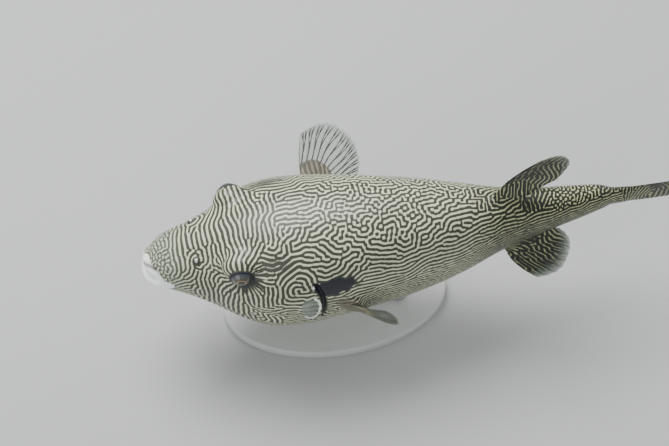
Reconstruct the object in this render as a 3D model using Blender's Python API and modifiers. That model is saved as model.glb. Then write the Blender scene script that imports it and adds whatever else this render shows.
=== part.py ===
"""Map puffer (Arothron mappa), life size, swimming, as a museum model on a plain stand.

Metres, +Z up. The fish heads towards -X, with its left side towards -Y. The origin is the middle of the
stand's underside. Lengths written as shares are shares of the standard length, snout to tail-fin root.
"""

import math

import bmesh
import bpy
from mathutils import Matrix, Vector

# Driving sizes
STANDARD_LENGTH = 0.450
SNOUT_X = -0.190
BELLY_HEIGHT = 0.055
GAP = 0.0003

# The body at stations along it: share of the length, half width, then the heights of the back,
# of the widest level and of the belly above the axis through the mouth.
STATIONS = (
    (0.00, 0.050, 0.040, -0.003, -0.047),
    (0.05, 0.058, 0.059, -0.006, -0.066),
    (0.10, 0.073, 0.080, -0.014, -0.096),
    (0.15, 0.095, 0.099, -0.022, -0.130),
    (0.20, 0.125, 0.120, -0.028, -0.157),
    (0.26, 0.151, 0.139, -0.029, -0.175),
    (0.33, 0.155, 0.152, -0.026, -0.185),
    (0.43, 0.141, 0.157, -0.017, -0.187),
    (0.53, 0.122, 0.153, -0.010, -0.180),
    (0.62, 0.103, 0.139, -0.004, -0.162),
    (0.70, 0.082, 0.119, 0.001, -0.133),
    (0.78, 0.058, 0.098, 0.007, -0.094),
    (0.86, 0.043, 0.078, 0.008, -0.063),
    (0.93, 0.034, 0.064, 0.009, -0.047),
    (0.99, 0.025, 0.052, 0.009, -0.035),
    (1.04, 0.016, 0.044, 0.009, -0.027),
)
BELLY_DEPTH = 0.190
AXIS_Z = BELLY_HEIGHT + BELLY_DEPTH * STANDARD_LENGTH
BODY_BEND = 0.020           # how far the trunk bows to the left
BEND_POWER = 1.6            # puts the deepest bow at two thirds of the length
SNOUT_START = 0.012         # the flesh behind the lips starts here
SNOUT_DOME = 0.050          # depth of the blunt snout
STALK_END = 1.045           # the tail stalk's flesh ends here, round the roots of the tail fin
STALK_DOME = 0.030          # depth of its rounded end
BACK_SQUARENESS = 2.25      # superellipse exponents, 2 is an ellipse
BELLY_SQUARENESS = 2.1
RING_SEGMENTS = 32
HEAD_END = 0.325
TRUNK_END = 0.745

# Eyes, mouth and gills, in shares
EYE = dict(at=0.207, side=0.098, height=0.084, radius=0.0240)
BROW = dict(at=0.211, side=0.080, height=0.087, radii=(0.041, 0.0365, 0.036))
MOUTH_HALF_WIDTH = 0.044
MOUTH_DEPTH = 0.042
MOUTH_HEIGHT = -0.008
LIP_FRONT = 0.013
UPPER_LIP_RISE = 0.0140
LOWER_LIP_DROP = 0.0160
LIP_RADIUS = 0.0128
BEAK_AT = 0.053
BEAK_RADII = (0.036, 0.0335, 0.0190)
BEAK_SLIT = 0.0030
MOUTH_HOLLOW_RADII = (0.046, 0.0420, 0.0205)
NASAL_FLAP = dict(at=0.118, side=0.048, radii=(0.0075, 0.0050, 0.0100))
GILL_COVER = dict(at=0.342, height=-0.022, radii=(0.022, 0.014, 0.040))

# Stand
BASE_LENGTH = 0.230
BASE_WIDTH = 0.130
BASE_THICKNESS = 0.012
ROD_RADIUS = 0.0040
COLLAR_RADIUS = 0.0090
COLLAR_HEIGHT = 0.006
ROD_SHARES = {"front": 0.285, "rear": 0.565}

COLOURS = {
    "skin": (0.25, 0.24, 0.17),
    "fin": (0.36, 0.36, 0.27),
    "lip": (0.80, 0.82, 0.76),
    "beak": (0.88, 0.86, 0.78),
    "eye": (0.03, 0.03, 0.035),
    "steel": (0.55, 0.56, 0.57),
    "base": (0.62, 0.63, 0.62),
}


def interpolate(table, column, at):
    """A smooth curve through one column of a table whose first column rises (Catmull-Rom)."""
    last = len(table) - 1
    i = max(k for k in range(last) if table[k][0] <= at or k == 0)
    before, after = table[max(i - 1, 0)], table[min(i + 2, last)]
    low, high = table[i], table[i + 1]
    span = high[0] - low[0]
    t = (at - low[0]) / span
    slope_low = (high[column] - before[column]) / (high[0] - before[0]) * span
    slope_high = (after[column] - low[column]) / (after[0] - low[0]) * span
    return (
        (2 * t**3 - 3 * t**2 + 1) * low[column]
        + (t**3 - 2 * t**2 + t) * slope_low
        + (3 * t**2 - 2 * t**3) * high[column]
        + (t**3 - t**2) * slope_high
    )


def bend(at):
    """How far the spine lies towards -Y at a share of the length."""
    return -BODY_BEND * math.sin(math.pi * min(max(at, 0.0), 1.0) ** BEND_POWER)


def place(at, side=0.0, height=0.0):
    """The world point for a share of the length, a side offset (+ is the right) and a height."""
    return Vector(
        (
            SNOUT_X + at * STANDARD_LENGTH,
            (bend(at) + side) * STANDARD_LENGTH,
            AXIS_Z + height * STANDARD_LENGTH,
        )
    )


def dome(at):
    """1 along the body, falling to 0 at both ends so that the snout and the tail stalk are rounded."""
    front = min(max((at - SNOUT_START) / SNOUT_DOME, 0.0), 1.0)
    rear = min(max((STALK_END - at) / STALK_DOME, 0.0), 1.0)
    return math.sqrt(1 - (1 - front) ** 2) * math.sqrt(1 - (1 - rear) ** 4)


def section_point(at, angle, grow=0.0):
    """A point of the body's surface: angle 0 is the right side, a quarter turn is the back."""
    fullness = dome(at)
    width, top, middle, bottom = (interpolate(STATIONS, c, at) for c in (1, 2, 3, 4))
    upper = math.sin(angle) >= 0
    power = 2 / (BACK_SQUARENESS if upper else BELLY_SQUARENESS)
    reach = (top - middle) if upper else (middle - bottom)
    across = math.copysign(abs(math.cos(angle)) ** power, math.cos(angle))
    along = math.copysign(abs(math.sin(angle)) ** power, math.sin(angle))
    extra = grow / STANDARD_LENGTH
    return place(at, across * (width * fullness + extra), middle + along * (reach * fullness + extra))


def surface_side(at, height):
    """Half width of the body at a height, in shares."""
    width, top, middle, bottom = (interpolate(STATIONS, c, at) for c in (1, 2, 3, 4))
    upper = height >= middle
    power = BACK_SQUARENESS if upper else BELLY_SQUARENESS
    reach = ((top - middle) if upper else (middle - bottom)) * dome(at)
    level = min(abs(height - middle) / reach, 1.0)
    return width * dome(at) * (1 - level**power) ** (1 / power)


def surface_height(at, side):
    """Height of the body's upper surface at a distance from its middle plane, in shares."""
    width, top, middle = (interpolate(STATIONS, c, at) for c in (1, 2, 3))
    reach = min(side / (width * dome(at)), 1.0)
    return middle + (top - middle) * dome(at) * (1 - reach**BACK_SQUARENESS) ** (1 / BACK_SQUARENESS)


def ring_shares():
    """Where the rings of the loft lie: close together on the domed snout and tail stalk."""
    snout = [SNOUT_START + SNOUT_DOME * (1 - math.cos(k * math.pi / 12)) for k in range(1, 7)]
    body = [0.085 + 0.0290 * k for k in range(32)]
    stalk = [STALK_END - STALK_DOME * (1 - math.sin(k * math.pi / 8)) for k in range(1, 4)]
    return snout + body + stalk


def collection(name, hidden=False):
    made = bpy.data.collections.new(name)
    bpy.context.scene.collection.children.link(made)
    made.hide_render = hidden
    return made


def material(name):
    made = bpy.data.materials.get(name) or bpy.data.materials.new(name)
    made.use_nodes = True
    shader = made.node_tree.nodes["Principled BSDF"]
    shader.inputs["Base Color"].default_value = (*COLOURS[name], 1.0)
    shader.inputs["Roughness"].default_value = 0.25 if name in ("eye", "steel", "beak") else 0.5
    shader.inputs["Metallic"].default_value = 1.0 if name == "steel" else 0.0
    return made


def add_object(name, mesh, finish, smooth=True):
    """A part of the model; finish names its material."""
    thing = bpy.data.objects.new(name, mesh)
    PARTS.objects.link(thing)
    mesh.materials.clear()
    mesh.materials.append(material(finish))
    if smooth:
        mesh.shade_smooth()
        mesh.set_sharp_from_angle(angle=math.radians(40))
    return thing


def as_cutter(thing):
    """Moves an object to the cutters, which the build leaves out."""
    for home in list(thing.users_collection):
        home.objects.unlink(thing)
    CUTTERS.objects.link(thing)
    thing.hide_render = True
    thing.display_type = "WIRE"
    return thing


def cutter(name, mesh):
    return as_cutter(bpy.data.objects.new(name, mesh))


def combine(target, operation, other):
    step = target.modifiers.new(operation.title() + "_" + other.name, "BOOLEAN")
    step.operation = operation
    step.solver = "EXACT"
    step.object = other


def loft(name, shares, grow=0.0):
    """A closed skin over the body's rings, from the first share to the last."""
    mesh = bpy.data.meshes.new(name)
    bm = bmesh.new()
    rings = []
    for at in shares:
        turns = (2 * math.pi * k / RING_SEGMENTS for k in range(RING_SEGMENTS))
        rings.append([bm.verts.new(section_point(at, turn, grow)) for turn in turns])
    for near, far in zip(rings, rings[1:]):
        for k in range(RING_SEGMENTS):
            after = (k + 1) % RING_SEGMENTS
            bm.faces.new((near[k], near[after], far[after], far[k]))
    bm.faces.new(rings[0])
    bm.faces.new(rings[-1])
    bmesh.ops.recalc_face_normals(bm, faces=bm.faces)
    bm.to_mesh(mesh)
    bm.free()
    return mesh


def ellipsoid(name, centre, radii, tilt=Matrix.Identity(4), segments=18):
    """A primitive sphere, scaled and placed; radii in metres."""
    mesh = bpy.data.meshes.new(name)
    bm = bmesh.new()
    shape = Matrix.Translation(centre) @ tilt @ Matrix.Diagonal((*radii, 1.0))
    bmesh.ops.create_uvsphere(bm, u_segments=segments, v_segments=segments // 2, radius=1.0, matrix=shape)
    bm.to_mesh(mesh)
    bm.free()
    return mesh


def lengths(shares):
    return tuple(share * STANDARD_LENGTH for share in shares)


def tube_mesh(name, points, radius):
    """A mesh tube along points, from a bevelled curve with filled caps; its ends are half as thick."""
    curve = bpy.data.curves.new(name, "CURVE")
    curve.dimensions = "3D"
    curve.bevel_depth = radius
    curve.bevel_resolution = 2
    curve.use_fill_caps = True
    spline = curve.splines.new("POLY")
    spline.points.add(len(points) - 1)
    for k, point in enumerate(points):
        from_end = min(k, len(points) - 1 - k) / (len(points) - 1)
        spline.points[k].co = (*point, 1.0)
        spline.points[k].radius = 0.55 + 0.45 * min(from_end * 4, 1.0)
    thing = bpy.data.objects.new(name + "_curve", curve)
    bpy.context.scene.collection.objects.link(thing)
    evaluated = thing.evaluated_get(bpy.context.evaluated_depsgraph_get())
    mesh = bpy.data.meshes.new_from_object(evaluated)
    mesh.name = name
    bm = bmesh.new()
    bm.from_mesh(mesh)
    bmesh.ops.remove_doubles(bm, verts=bm.verts, dist=0.00001)
    bmesh.ops.recalc_face_normals(bm, faces=bm.faces)
    bm.to_mesh(mesh)
    bm.free()
    bpy.data.objects.remove(thing)
    bpy.data.curves.remove(curve)
    return mesh


def lip_line(rise):
    """Points from the right corner of the mouth round the front to the left one."""
    steps = 14
    line = []
    for k in range(steps + 1):
        turn = math.pi * (k / steps - 0.5)
        at = LIP_FRONT + MOUTH_DEPTH * (1 - math.cos(turn))
        line.append(place(at, -MOUTH_HALF_WIDTH * math.sin(turn), MOUTH_HEIGHT + rise * math.cos(turn)))
    return line


def build_mouth(head):
    """Thick lips round the mouth, and the beak of two tooth plates that shows between them."""
    radius = LIP_RADIUS * STANDARD_LENGTH
    seats = []
    lips = {"upper_lip": UPPER_LIP_RISE, "lower_lip": -LOWER_LIP_DROP}
    made = {}
    for name, rise in lips.items():
        made[name] = add_object(name, tube_mesh(name, lip_line(rise), radius), "lip")
        seats.append(cutter(name + "_seat", tube_mesh(name + "_seat", lip_line(rise), radius + GAP)))
    combine(made["lower_lip"], "DIFFERENCE", seats[0])
    centre = place(BEAK_AT, 0.0, MOUTH_HEIGHT)
    hollow = cutter("mouth_hollow", ellipsoid("mouth_hollow", centre, lengths(MOUTH_HOLLOW_RADII)))
    for name, side in (("upper_beak", 1), ("lower_beak", -1)):
        plate = ellipsoid(name, centre, lengths(BEAK_RADII))
        bm = bmesh.new()
        bm.from_mesh(plate)
        cut_at = centre + Vector((0, 0, side * BEAK_SLIT * STANDARD_LENGTH / 2))
        everything = bm.verts[:] + bm.edges[:] + bm.faces[:]
        cut = bmesh.ops.bisect_plane(
            bm, geom=everything, plane_co=cut_at, plane_no=(0, 0, -side), clear_outer=True
        )
        rim = [part for part in cut["geom_cut"] if isinstance(part, bmesh.types.BMEdge)]
        bmesh.ops.contextual_create(bm, geom=rim)
        bmesh.ops.recalc_face_normals(bm, faces=bm.faces)
        bm.to_mesh(plate)
        bm.free()
        beak = add_object(name, plate, "beak")
        for seat in seats:
            combine(beak, "DIFFERENCE", seat)
    for seat in [*seats, hollow]:
        combine(head, "DIFFERENCE", seat)


def build_eyes(head):
    """Brows that stand out from the head's upper corners, sockets in them, and the eyeballs."""
    radius = EYE["radius"] * STANDARD_LENGTH
    for word, side in (("left", -1), ("right", 1)):
        brow_at = place(BROW["at"], side * BROW["side"], BROW["height"])
        brow = cutter("brow_" + word, ellipsoid("brow_" + word, brow_at, lengths(BROW["radii"])))
        combine(head, "UNION", brow)
        centre = place(EYE["at"], side * EYE["side"], EYE["height"])
        socket_radii = [radius + GAP] * 3
        socket = cutter("socket_" + word, ellipsoid("socket_" + word, centre, socket_radii))
        combine(head, "DIFFERENCE", socket)
        add_object("eye_" + word, ellipsoid("eye_" + word, centre, [radius] * 3), "eye")


def build_body():
    """Head, trunk and tail stalk, parted by thin upright cuts."""
    shares = ring_shares()
    half_gap = GAP / 2 / STANDARD_LENGTH
    spans = {
        "head": (0.0, HEAD_END - half_gap),
        "trunk": (HEAD_END + half_gap, TRUNK_END - half_gap),
        "tail_stalk": (TRUNK_END + half_gap, STALK_END),
    }
    made = {}
    for name, (start, end) in spans.items():
        inside = [at for at in shares if start < at < end]
        rings = [start] * (name != "head") + inside + [end] * (name != "tail_stalk")
        made[name] = add_object(name, loft(name, rings), "skin")
    return made


def build_lobes(envelope):
    """The fleshy nasal flaps on the snout and the gill covers ahead of the pectoral fins."""
    for word, side in (("left", -1), ("right", 1)):
        at, across = NASAL_FLAP["at"], NASAL_FLAP["side"]
        name = "nasal_flap_" + word
        nostril = place(at, side * across, surface_height(at, across))
        flap = ellipsoid(name, nostril, lengths(NASAL_FLAP["radii"]), segments=10)
        combine(add_object(name, flap, "skin"), "DIFFERENCE", envelope)
        at, height = GILL_COVER["at"], GILL_COVER["height"]
        centre = place(at, side * surface_side(at, height), height)
        lean = Matrix.Rotation(math.radians(-12), 4, "Y")
        cover = ellipsoid("gill_cover_" + word, centre, lengths(GILL_COVER["radii"]), lean)
        combine(add_object("gill_cover_" + word, cover, "skin"), "DIFFERENCE", envelope)


# A fin is a fan of rays. Its root runs from front to back, the sweep turns a ray from straight out
# towards the tail, the rise lifts it and the bulge bows it forwards. Ray lengths, in shares, go from
# the leading ray to the trailing one. The cup bends the whole fan across its own plane.
RIGHT, LEFT, UP, DOWN = Vector((0, 1, 0)), Vector((0, -1, 0)), Vector((0, 0, 1)), Vector((0, 0, -1))
BACK = Vector((1, 0, 0))
FINS = {
    "dorsal_fin": dict(
        root=((0.752, 0.0, 0.096), (0.822, 0.0, 0.080)), out=UP, lean=RIGHT * 0.08,
        sweep=(36, 46), rise=(0.0, 0.0), rays=(0.176, 0.200, 0.194, 0.166, 0.108),
        bulge=0.06, thick=(0.034, 0.0022), cup=0.010,
    ),
    "anal_fin": dict(
        root=((0.784, 0.0, -0.086), (0.862, 0.0, -0.056)), out=DOWN, lean=LEFT * 0.60,
        sweep=(38, 78), rise=(0.0, 0.0), rays=(0.146, 0.156, 0.138, 0.108, 0.062),
        bulge=0.10, thick=(0.034, 0.0022), cup=-0.008,
    ),
    "caudal_fin": dict(
        root=((1.028, 0.0, 0.038), (1.028, 0.0, -0.021)), out=BACK, lean=LEFT * 0.04,
        sweep=(-2, 2), rise=(0.0, 0.0), rays=(0.180, 0.205, 0.212, 0.206, 0.182),
        bulge=0.0, thick=(0.034, 0.0024), cup=-0.006, across=DOWN + RIGHT * 0.17,
    ),
    "pectoral_fin_right": dict(
        root=((0.372, 0.146, -0.002), (0.412, 0.142, -0.036)), out=RIGHT, lean=UP * 0.04,
        sweep=(7, 80), rise=(0.10, 0.15), rays=(0.126, 0.158, 0.150, 0.122, 0.086),
        bulge=0.05, thick=(0.036, 0.0020), cup=0.008,
    ),
    "pectoral_fin_left": dict(
        root=((0.398, -0.138, 0.000), (0.434, -0.135, -0.052)), out=LEFT, lean=UP * 0.0,
        sweep=(74, 72), rise=(-0.16, -0.62), rays=(0.116, 0.134, 0.138, 0.128, 0.096),
        bulge=0.04, thick=(0.036, 0.0020), cup=0.008,
    ),
}
ROOT_DEPTH = 0.030          # how far a fin's fan starts inside the body before it is trimmed
FIN_COLUMNS = 12
FIN_ROWS = 7


def fin_point(fin, across, along):
    """A point of a fin's middle surface: across runs from leading to trailing ray, along from root to tip."""
    start, end = (place(*corner) for corner in fin["root"])
    sweep_from, sweep_to = (math.radians(angle) for angle in fin["sweep"])
    rise = fin["rise"][0] + (fin["rise"][1] - fin["rise"][0]) * across
    sweep = sweep_from + (sweep_to - sweep_from) * across
    to_tail = fin.get("across", BACK)
    outward = (fin["out"] + fin["lean"]).normalized()
    direction = outward * math.cos(sweep) + to_tail * math.sin(sweep) + UP * rise
    direction.normalize()
    table = [(k / (len(fin["rays"]) - 1), length) for k, length in enumerate(fin["rays"])]
    reach = interpolate(table, 1, across) * STANDARD_LENGTH
    start_depth = ROOT_DEPTH * STANDARD_LENGTH
    distance = along * (reach + start_depth) - start_depth
    share = max(distance / reach, 0.0)
    normal = to_tail.cross(outward).normalized()
    ahead = normal.cross(direction)
    bend_across = normal * (fin["cup"] * STANDARD_LENGTH * share**2)
    bend_ahead = ahead * (fin["bulge"] * reach * 4 * share * (1 - share) * (1 - across))
    return start.lerp(end, across) + direction * distance + bend_across + bend_ahead


def build_fin(name, envelope):
    """A grid bent into the fan, thickened from a fleshy root to a thin margin, and trimmed to the body."""
    fin = FINS[name]
    mesh = bpy.data.meshes.new(name)
    bm = bmesh.new()
    bmesh.ops.create_grid(bm, x_segments=FIN_COLUMNS, y_segments=FIN_ROWS, size=0.5)
    spots = [(vert.co.x + 0.5, vert.co.y + 0.5) for vert in bm.verts]
    for vert, (across, along) in zip(bm.verts, spots):
        vert.co = fin_point(fin, across, along)
    bm.to_mesh(mesh)
    bm.free()
    thing = add_object(name, mesh, "fin")
    root_thickness, edge_thickness = lengths(fin["thick"])
    flesh = thing.vertex_groups.new(name="flesh")
    for index, (across, along) in enumerate(spots):
        fullness = (1 - along) ** 2.2 * (4 * across * (1 - across)) ** 0.35
        flesh.add([index], fullness, "REPLACE")
    wall = thing.modifiers.new("Flesh", "SOLIDIFY")
    wall.thickness = root_thickness
    wall.offset = 0.0
    wall.vertex_group = flesh.name
    wall.thickness_vertex_group = edge_thickness / root_thickness
    combine(thing, "DIFFERENCE", envelope)


def cylinder(name, centre, radius, bottom, top, segments=16):
    mesh = bpy.data.meshes.new(name)
    bm = bmesh.new()
    middle = Matrix.Translation((centre.x, centre.y, (bottom + top) / 2))
    bmesh.ops.create_cone(
        bm, cap_ends=True, segments=segments, radius1=radius, radius2=radius, depth=top - bottom, matrix=middle
    )
    bm.to_mesh(mesh)
    bm.free()
    return mesh


def build_stand(envelope):
    """An oval plate, and two rods in collars up to the belly."""
    plate = cylinder("stand_base", Vector((0, 0, 0)), 1.0, 0.0, BASE_THICKNESS, segments=56)
    plate.transform(Matrix.Diagonal((BASE_LENGTH / 2, BASE_WIDTH / 2, 1.0, 1.0)))
    base = add_object("stand_base", plate, "base")
    edge = base.modifiers.new("Edge", "BEVEL")
    edge.width = 0.0015
    edge.segments = 1
    edge.limit_method = "ANGLE"
    for word, at in ROD_SHARES.items():
        foot = place(at)
        foot.z = 0.0
        collar_bottom = BASE_THICKNESS + GAP
        collar_top = collar_bottom + COLLAR_HEIGHT
        collar = cylinder("stand_collar_" + word, foot, COLLAR_RADIUS, collar_bottom, collar_top)
        collar_object = add_object("stand_collar_" + word, collar, "steel")
        rod = cylinder("stand_rod_" + word, foot, ROD_RADIUS, collar_bottom, AXIS_Z)
        bore_name = "bore_" + word
        bore = cutter(bore_name, cylinder(bore_name, foot, ROD_RADIUS + GAP, 0.0, AXIS_Z))
        combine(collar_object, "DIFFERENCE", bore)
        combine(add_object("stand_rod_" + word, rod, "steel"), "DIFFERENCE", envelope)


for leftover in list(bpy.data.objects):
    bpy.data.objects.remove(leftover)
PARTS = collection("map_puffer")
CUTTERS = collection("cutters", hidden=True)
body = build_body()
whole = cutter("body_envelope", loft("body_envelope", ring_shares(), grow=GAP * 1.3))
build_eyes(body["head"])
build_mouth(body["head"])
build_lobes(whole)
for fin_name in FINS:
    build_fin(fin_name, whole)
build_stand(whole)
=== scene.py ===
"""Map puffer, life size, swimming, as a museum model on a plain stand. Metres, +Z up, head towards -X."""
import math

import bmesh
import bpy
import numpy as np
from mathutils import Matrix, Vector
from mathutils.kdtree import KDTree


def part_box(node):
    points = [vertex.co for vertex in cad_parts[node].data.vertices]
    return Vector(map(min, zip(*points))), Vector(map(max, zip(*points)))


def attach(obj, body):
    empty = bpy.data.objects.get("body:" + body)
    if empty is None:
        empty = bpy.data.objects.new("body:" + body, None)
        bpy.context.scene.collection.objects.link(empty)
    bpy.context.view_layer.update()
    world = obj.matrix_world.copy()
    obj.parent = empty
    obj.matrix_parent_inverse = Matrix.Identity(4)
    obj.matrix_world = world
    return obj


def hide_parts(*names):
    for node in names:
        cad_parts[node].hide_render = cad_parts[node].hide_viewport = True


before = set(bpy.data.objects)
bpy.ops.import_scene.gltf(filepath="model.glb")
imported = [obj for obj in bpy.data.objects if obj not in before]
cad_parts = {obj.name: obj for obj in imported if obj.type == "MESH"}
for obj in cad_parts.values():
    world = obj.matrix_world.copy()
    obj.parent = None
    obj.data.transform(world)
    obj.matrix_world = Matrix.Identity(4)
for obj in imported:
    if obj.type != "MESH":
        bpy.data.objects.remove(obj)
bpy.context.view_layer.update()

# ---------------------------------------------------------------------------------------------------
# Skin. The fish's own covering in one unbroken piece: head, lips, brows, gill covers, trunk, tail
# stalk and the fleshy bases of the fins. On the model it is cast resin over a carved body, painted
# with fine labyrinth lines and varnished so that it looks moist.
# ---------------------------------------------------------------------------------------------------
SIDES = ((-1, "left"), (1, "right"))   # the fish's own sides: its right is +Y
EYE_SHARE = dict(at=0.207, height=0.084, radius=0.0240)


def corners(box):
    return [np.array(corner) for corner in box]


left_eye, right_eye = corners(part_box("eye_left")), corners(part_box("eye_right"))
EYE_CENTRES = {-1: sum(left_eye) / 2, 1: sum(right_eye) / 2}
EYE_RADIUS = (left_eye[1][2] - left_eye[0][2]) / 2
STANDARD_LENGTH = EYE_RADIUS / EYE_SHARE["radius"]
SNOUT_X = EYE_CENTRES[1][0] - EYE_SHARE["at"] * STANDARD_LENGTH
AXIS_Z = EYE_CENTRES[1][2] - EYE_SHARE["height"] * STANDARD_LENGTH

# Share of the length, half width, then the heights of the back, of the widest level and of the belly.
STATIONS = np.array((
    (0.00, 0.050, 0.040, -0.003, -0.047), (0.05, 0.058, 0.059, -0.006, -0.066),
    (0.10, 0.073, 0.080, -0.014, -0.096), (0.15, 0.095, 0.099, -0.022, -0.130),
    (0.20, 0.125, 0.120, -0.028, -0.157), (0.26, 0.151, 0.139, -0.029, -0.175),
    (0.33, 0.155, 0.152, -0.026, -0.185), (0.43, 0.141, 0.157, -0.017, -0.187),
    (0.53, 0.122, 0.153, -0.010, -0.180), (0.62, 0.103, 0.139, -0.004, -0.162),
    (0.70, 0.082, 0.119, 0.001, -0.133), (0.78, 0.058, 0.098, 0.007, -0.094),
    (0.86, 0.043, 0.078, 0.008, -0.063), (0.93, 0.034, 0.064, 0.009, -0.047),
    (0.99, 0.025, 0.052, 0.009, -0.035), (1.04, 0.016, 0.044, 0.009, -0.027),
))
BODY_BEND, BEND_POWER = 0.020, 1.6
SNOUT_START, SNOUT_DOME = 0.012, 0.050
STALK_END, STALK_DOME = 1.045, 0.080
BACK_SQUARENESS, BELLY_SQUARENESS = 2.25, 2.1

BROW = dict(at=0.211, side=0.080, height=0.087, radii=(0.0405, 0.0355, 0.0350))
GILL_COVER = dict(at=0.344, height=-0.012, radii=(0.0215, 0.0135, 0.0380), lean=math.radians(-14))
NASAL_FLAP = dict(at=0.118, side=0.048, radii=(0.0070, 0.0048, 0.0095))
MOUTH_HEIGHT = -0.008
MOUTH_DEPTH = 0.042
MOUTH_HOLLOW = dict(at=0.056, radii=(0.046, 0.0400, 0.0190))
LIPS = {  # front, half width, rise of the middle, radius
    "upper": (0.0162, 0.0385, 0.0181, 0.0112),
    "lower": (0.0146, 0.0480, -0.0186, 0.0140),
}

# Fins: the same fans of rays as in the frame. Root corners, direction out, sweep, rise, ray lengths.
RIGHT, LEFT = np.array((0.0, 1.0, 0.0)), np.array((0.0, -1.0, 0.0))
UP, DOWN, BACK = np.array((0.0, 0.0, 1.0)), np.array((0.0, 0.0, -1.0)), np.array((1.0, 0.0, 0.0))
FINS = {
    "dorsal_fin": dict(
        root=((0.752, 0.0, 0.096), (0.822, 0.0, 0.080)), out=UP + RIGHT * 0.08, sweep=(36, 46),
        rise=(0.0, 0.0), rays=(0.176, 0.200, 0.194, 0.166, 0.108), bulge=0.06, root_thick=0.034, cup=0.010,
    ),
    "anal_fin": dict(
        root=((0.784, 0.0, -0.086), (0.862, 0.0, -0.056)), out=DOWN + LEFT * 0.60, sweep=(38, 78),
        rise=(0.0, 0.0), rays=(0.146, 0.156, 0.138, 0.108, 0.062), bulge=0.10, root_thick=0.034, cup=-0.008,
    ),
    "caudal_fin": dict(
        root=((1.028, 0.0, 0.038), (1.028, 0.0, -0.021)), out=BACK + LEFT * 0.04, sweep=(-2, 2),
        rise=(0.0, 0.0), rays=(0.180, 0.205, 0.212, 0.206, 0.182), bulge=0.0, root_thick=0.034,
        cup=-0.006, across=DOWN + RIGHT * 0.17,
    ),
    "pectoral_fin_right": dict(
        root=((0.372, 0.146, -0.002), (0.412, 0.142, -0.036)), out=RIGHT + UP * 0.04, sweep=(7, 80),
        rise=(0.10, 0.15), rays=(0.126, 0.158, 0.150, 0.122, 0.086), bulge=0.05, root_thick=0.036, cup=0.008,
    ),
    "pectoral_fin_left": dict(
        root=((0.398, -0.138, 0.000), (0.434, -0.135, -0.052)), out=LEFT, sweep=(74, 72),
        rise=(-0.16, -0.62), rays=(0.114, 0.132, 0.135, 0.126, 0.095), bulge=0.04, root_thick=0.036,
        cup=0.008,
    ),
}
PECTORALS = ("pectoral_fin_left", "pectoral_fin_right")
FIN_START = 0.030   # how deep a fin's rays start inside the body


def curve_through(table, column, at):
    """A smooth curve through one column of a table whose first column rises."""
    at = np.asarray(at, float)
    xs, ys = table[:, 0], table[:, column]
    last = len(xs) - 1
    low = np.clip(np.searchsorted(xs, at, side="right") - 1, 0, last - 1)
    before, after = np.maximum(low - 1, 0), np.minimum(low + 2, last)
    span = xs[low + 1] - xs[low]
    t = (at - xs[low]) / span
    slope_low = (ys[low + 1] - ys[before]) / (xs[low + 1] - xs[before]) * span
    slope_high = (ys[after] - ys[low]) / (xs[after] - xs[low]) * span
    return (
        (2 * t**3 - 3 * t**2 + 1) * ys[low] + (t**3 - 2 * t**2 + t) * slope_low
        + (3 * t**2 - 2 * t**3) * ys[low + 1] + (t**3 - t**2) * slope_high
    )


def spine_bow(at):
    return -BODY_BEND * np.sin(np.pi * np.clip(at, 0.0, 1.0) ** BEND_POWER)


def place(at, side=0.0, height=0.0):
    """World points for shares of the length, side offsets (+ is the fish's right) and heights."""
    at, side, height = np.broadcast_arrays(np.asarray(at, float), side, height)
    x = SNOUT_X + at * STANDARD_LENGTH
    return np.stack((x, (spine_bow(at) + side) * STANDARD_LENGTH, AXIS_Z + height * STANDARD_LENGTH), axis=-1)


def body_shares(points):
    """The reverse of place()."""
    at = (points[:, 0] - SNOUT_X) / STANDARD_LENGTH
    return at, points[:, 1] / STANDARD_LENGTH - spine_bow(at), (points[:, 2] - AXIS_Z) / STANDARD_LENGTH


def fullness(at):
    front = np.clip((at - SNOUT_START) / SNOUT_DOME, 0.0, 1.0)
    rear = np.clip((STALK_END - at) / STALK_DOME, 0.0, 1.0)
    return np.sqrt(1 - (1 - front) ** 2) * np.sqrt(1 - (1 - rear) ** 4)


def body_surface(at, angle):
    """Points of the body: angle 0 is the right side, a quarter turn is the back."""
    width, top, middle, bottom = (curve_through(STATIONS, column, at) for column in (1, 2, 3, 4))
    upper = np.sin(angle) >= 0
    power = 2 / np.where(upper, BACK_SQUARENESS, BELLY_SQUARENESS)
    reach = np.where(upper, top - middle, middle - bottom) * fullness(at)
    across = np.sign(np.cos(angle)) * np.abs(np.cos(angle)) ** power
    upward = np.sign(np.sin(angle)) * np.abs(np.sin(angle)) ** power
    return place(at, across * width * fullness(at), middle + upward * reach)


def surface_side(at, height):
    width, top, middle, bottom = (float(curve_through(STATIONS, column, at)) for column in (1, 2, 3, 4))
    power = BACK_SQUARENESS if height >= middle else BELLY_SQUARENESS
    reach = (top - middle) if height >= middle else (middle - bottom)
    return width * (1 - (abs(height - middle) / reach) ** power) ** (1 / power)


def surface_height(at, side):
    width, top, middle = (float(curve_through(STATIONS, column, at)) for column in (1, 2, 3))
    return middle + (top - middle) * (1 - (side / width) ** BACK_SQUARENESS) ** (1 / BACK_SQUARENESS)


def unit(vectors):
    return vectors / np.maximum(np.linalg.norm(vectors, axis=-1, keepdims=True), 1e-12)


def full_turn(steps):
    return 2 * np.pi * np.arange(steps) / steps


def smooth_step(low, high, value):
    t = np.clip((value - low) / (high - low), 0.0, 1.0)
    return t * t * (3 - 2 * t)


def smooth_fall(low, high, value):
    return 1 - smooth_step(low, high, value)


def bell(distance, power=2):
    """1 where the distance is 0, falling softly to 0 beyond 1."""
    return np.exp(-(distance**power))


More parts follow.
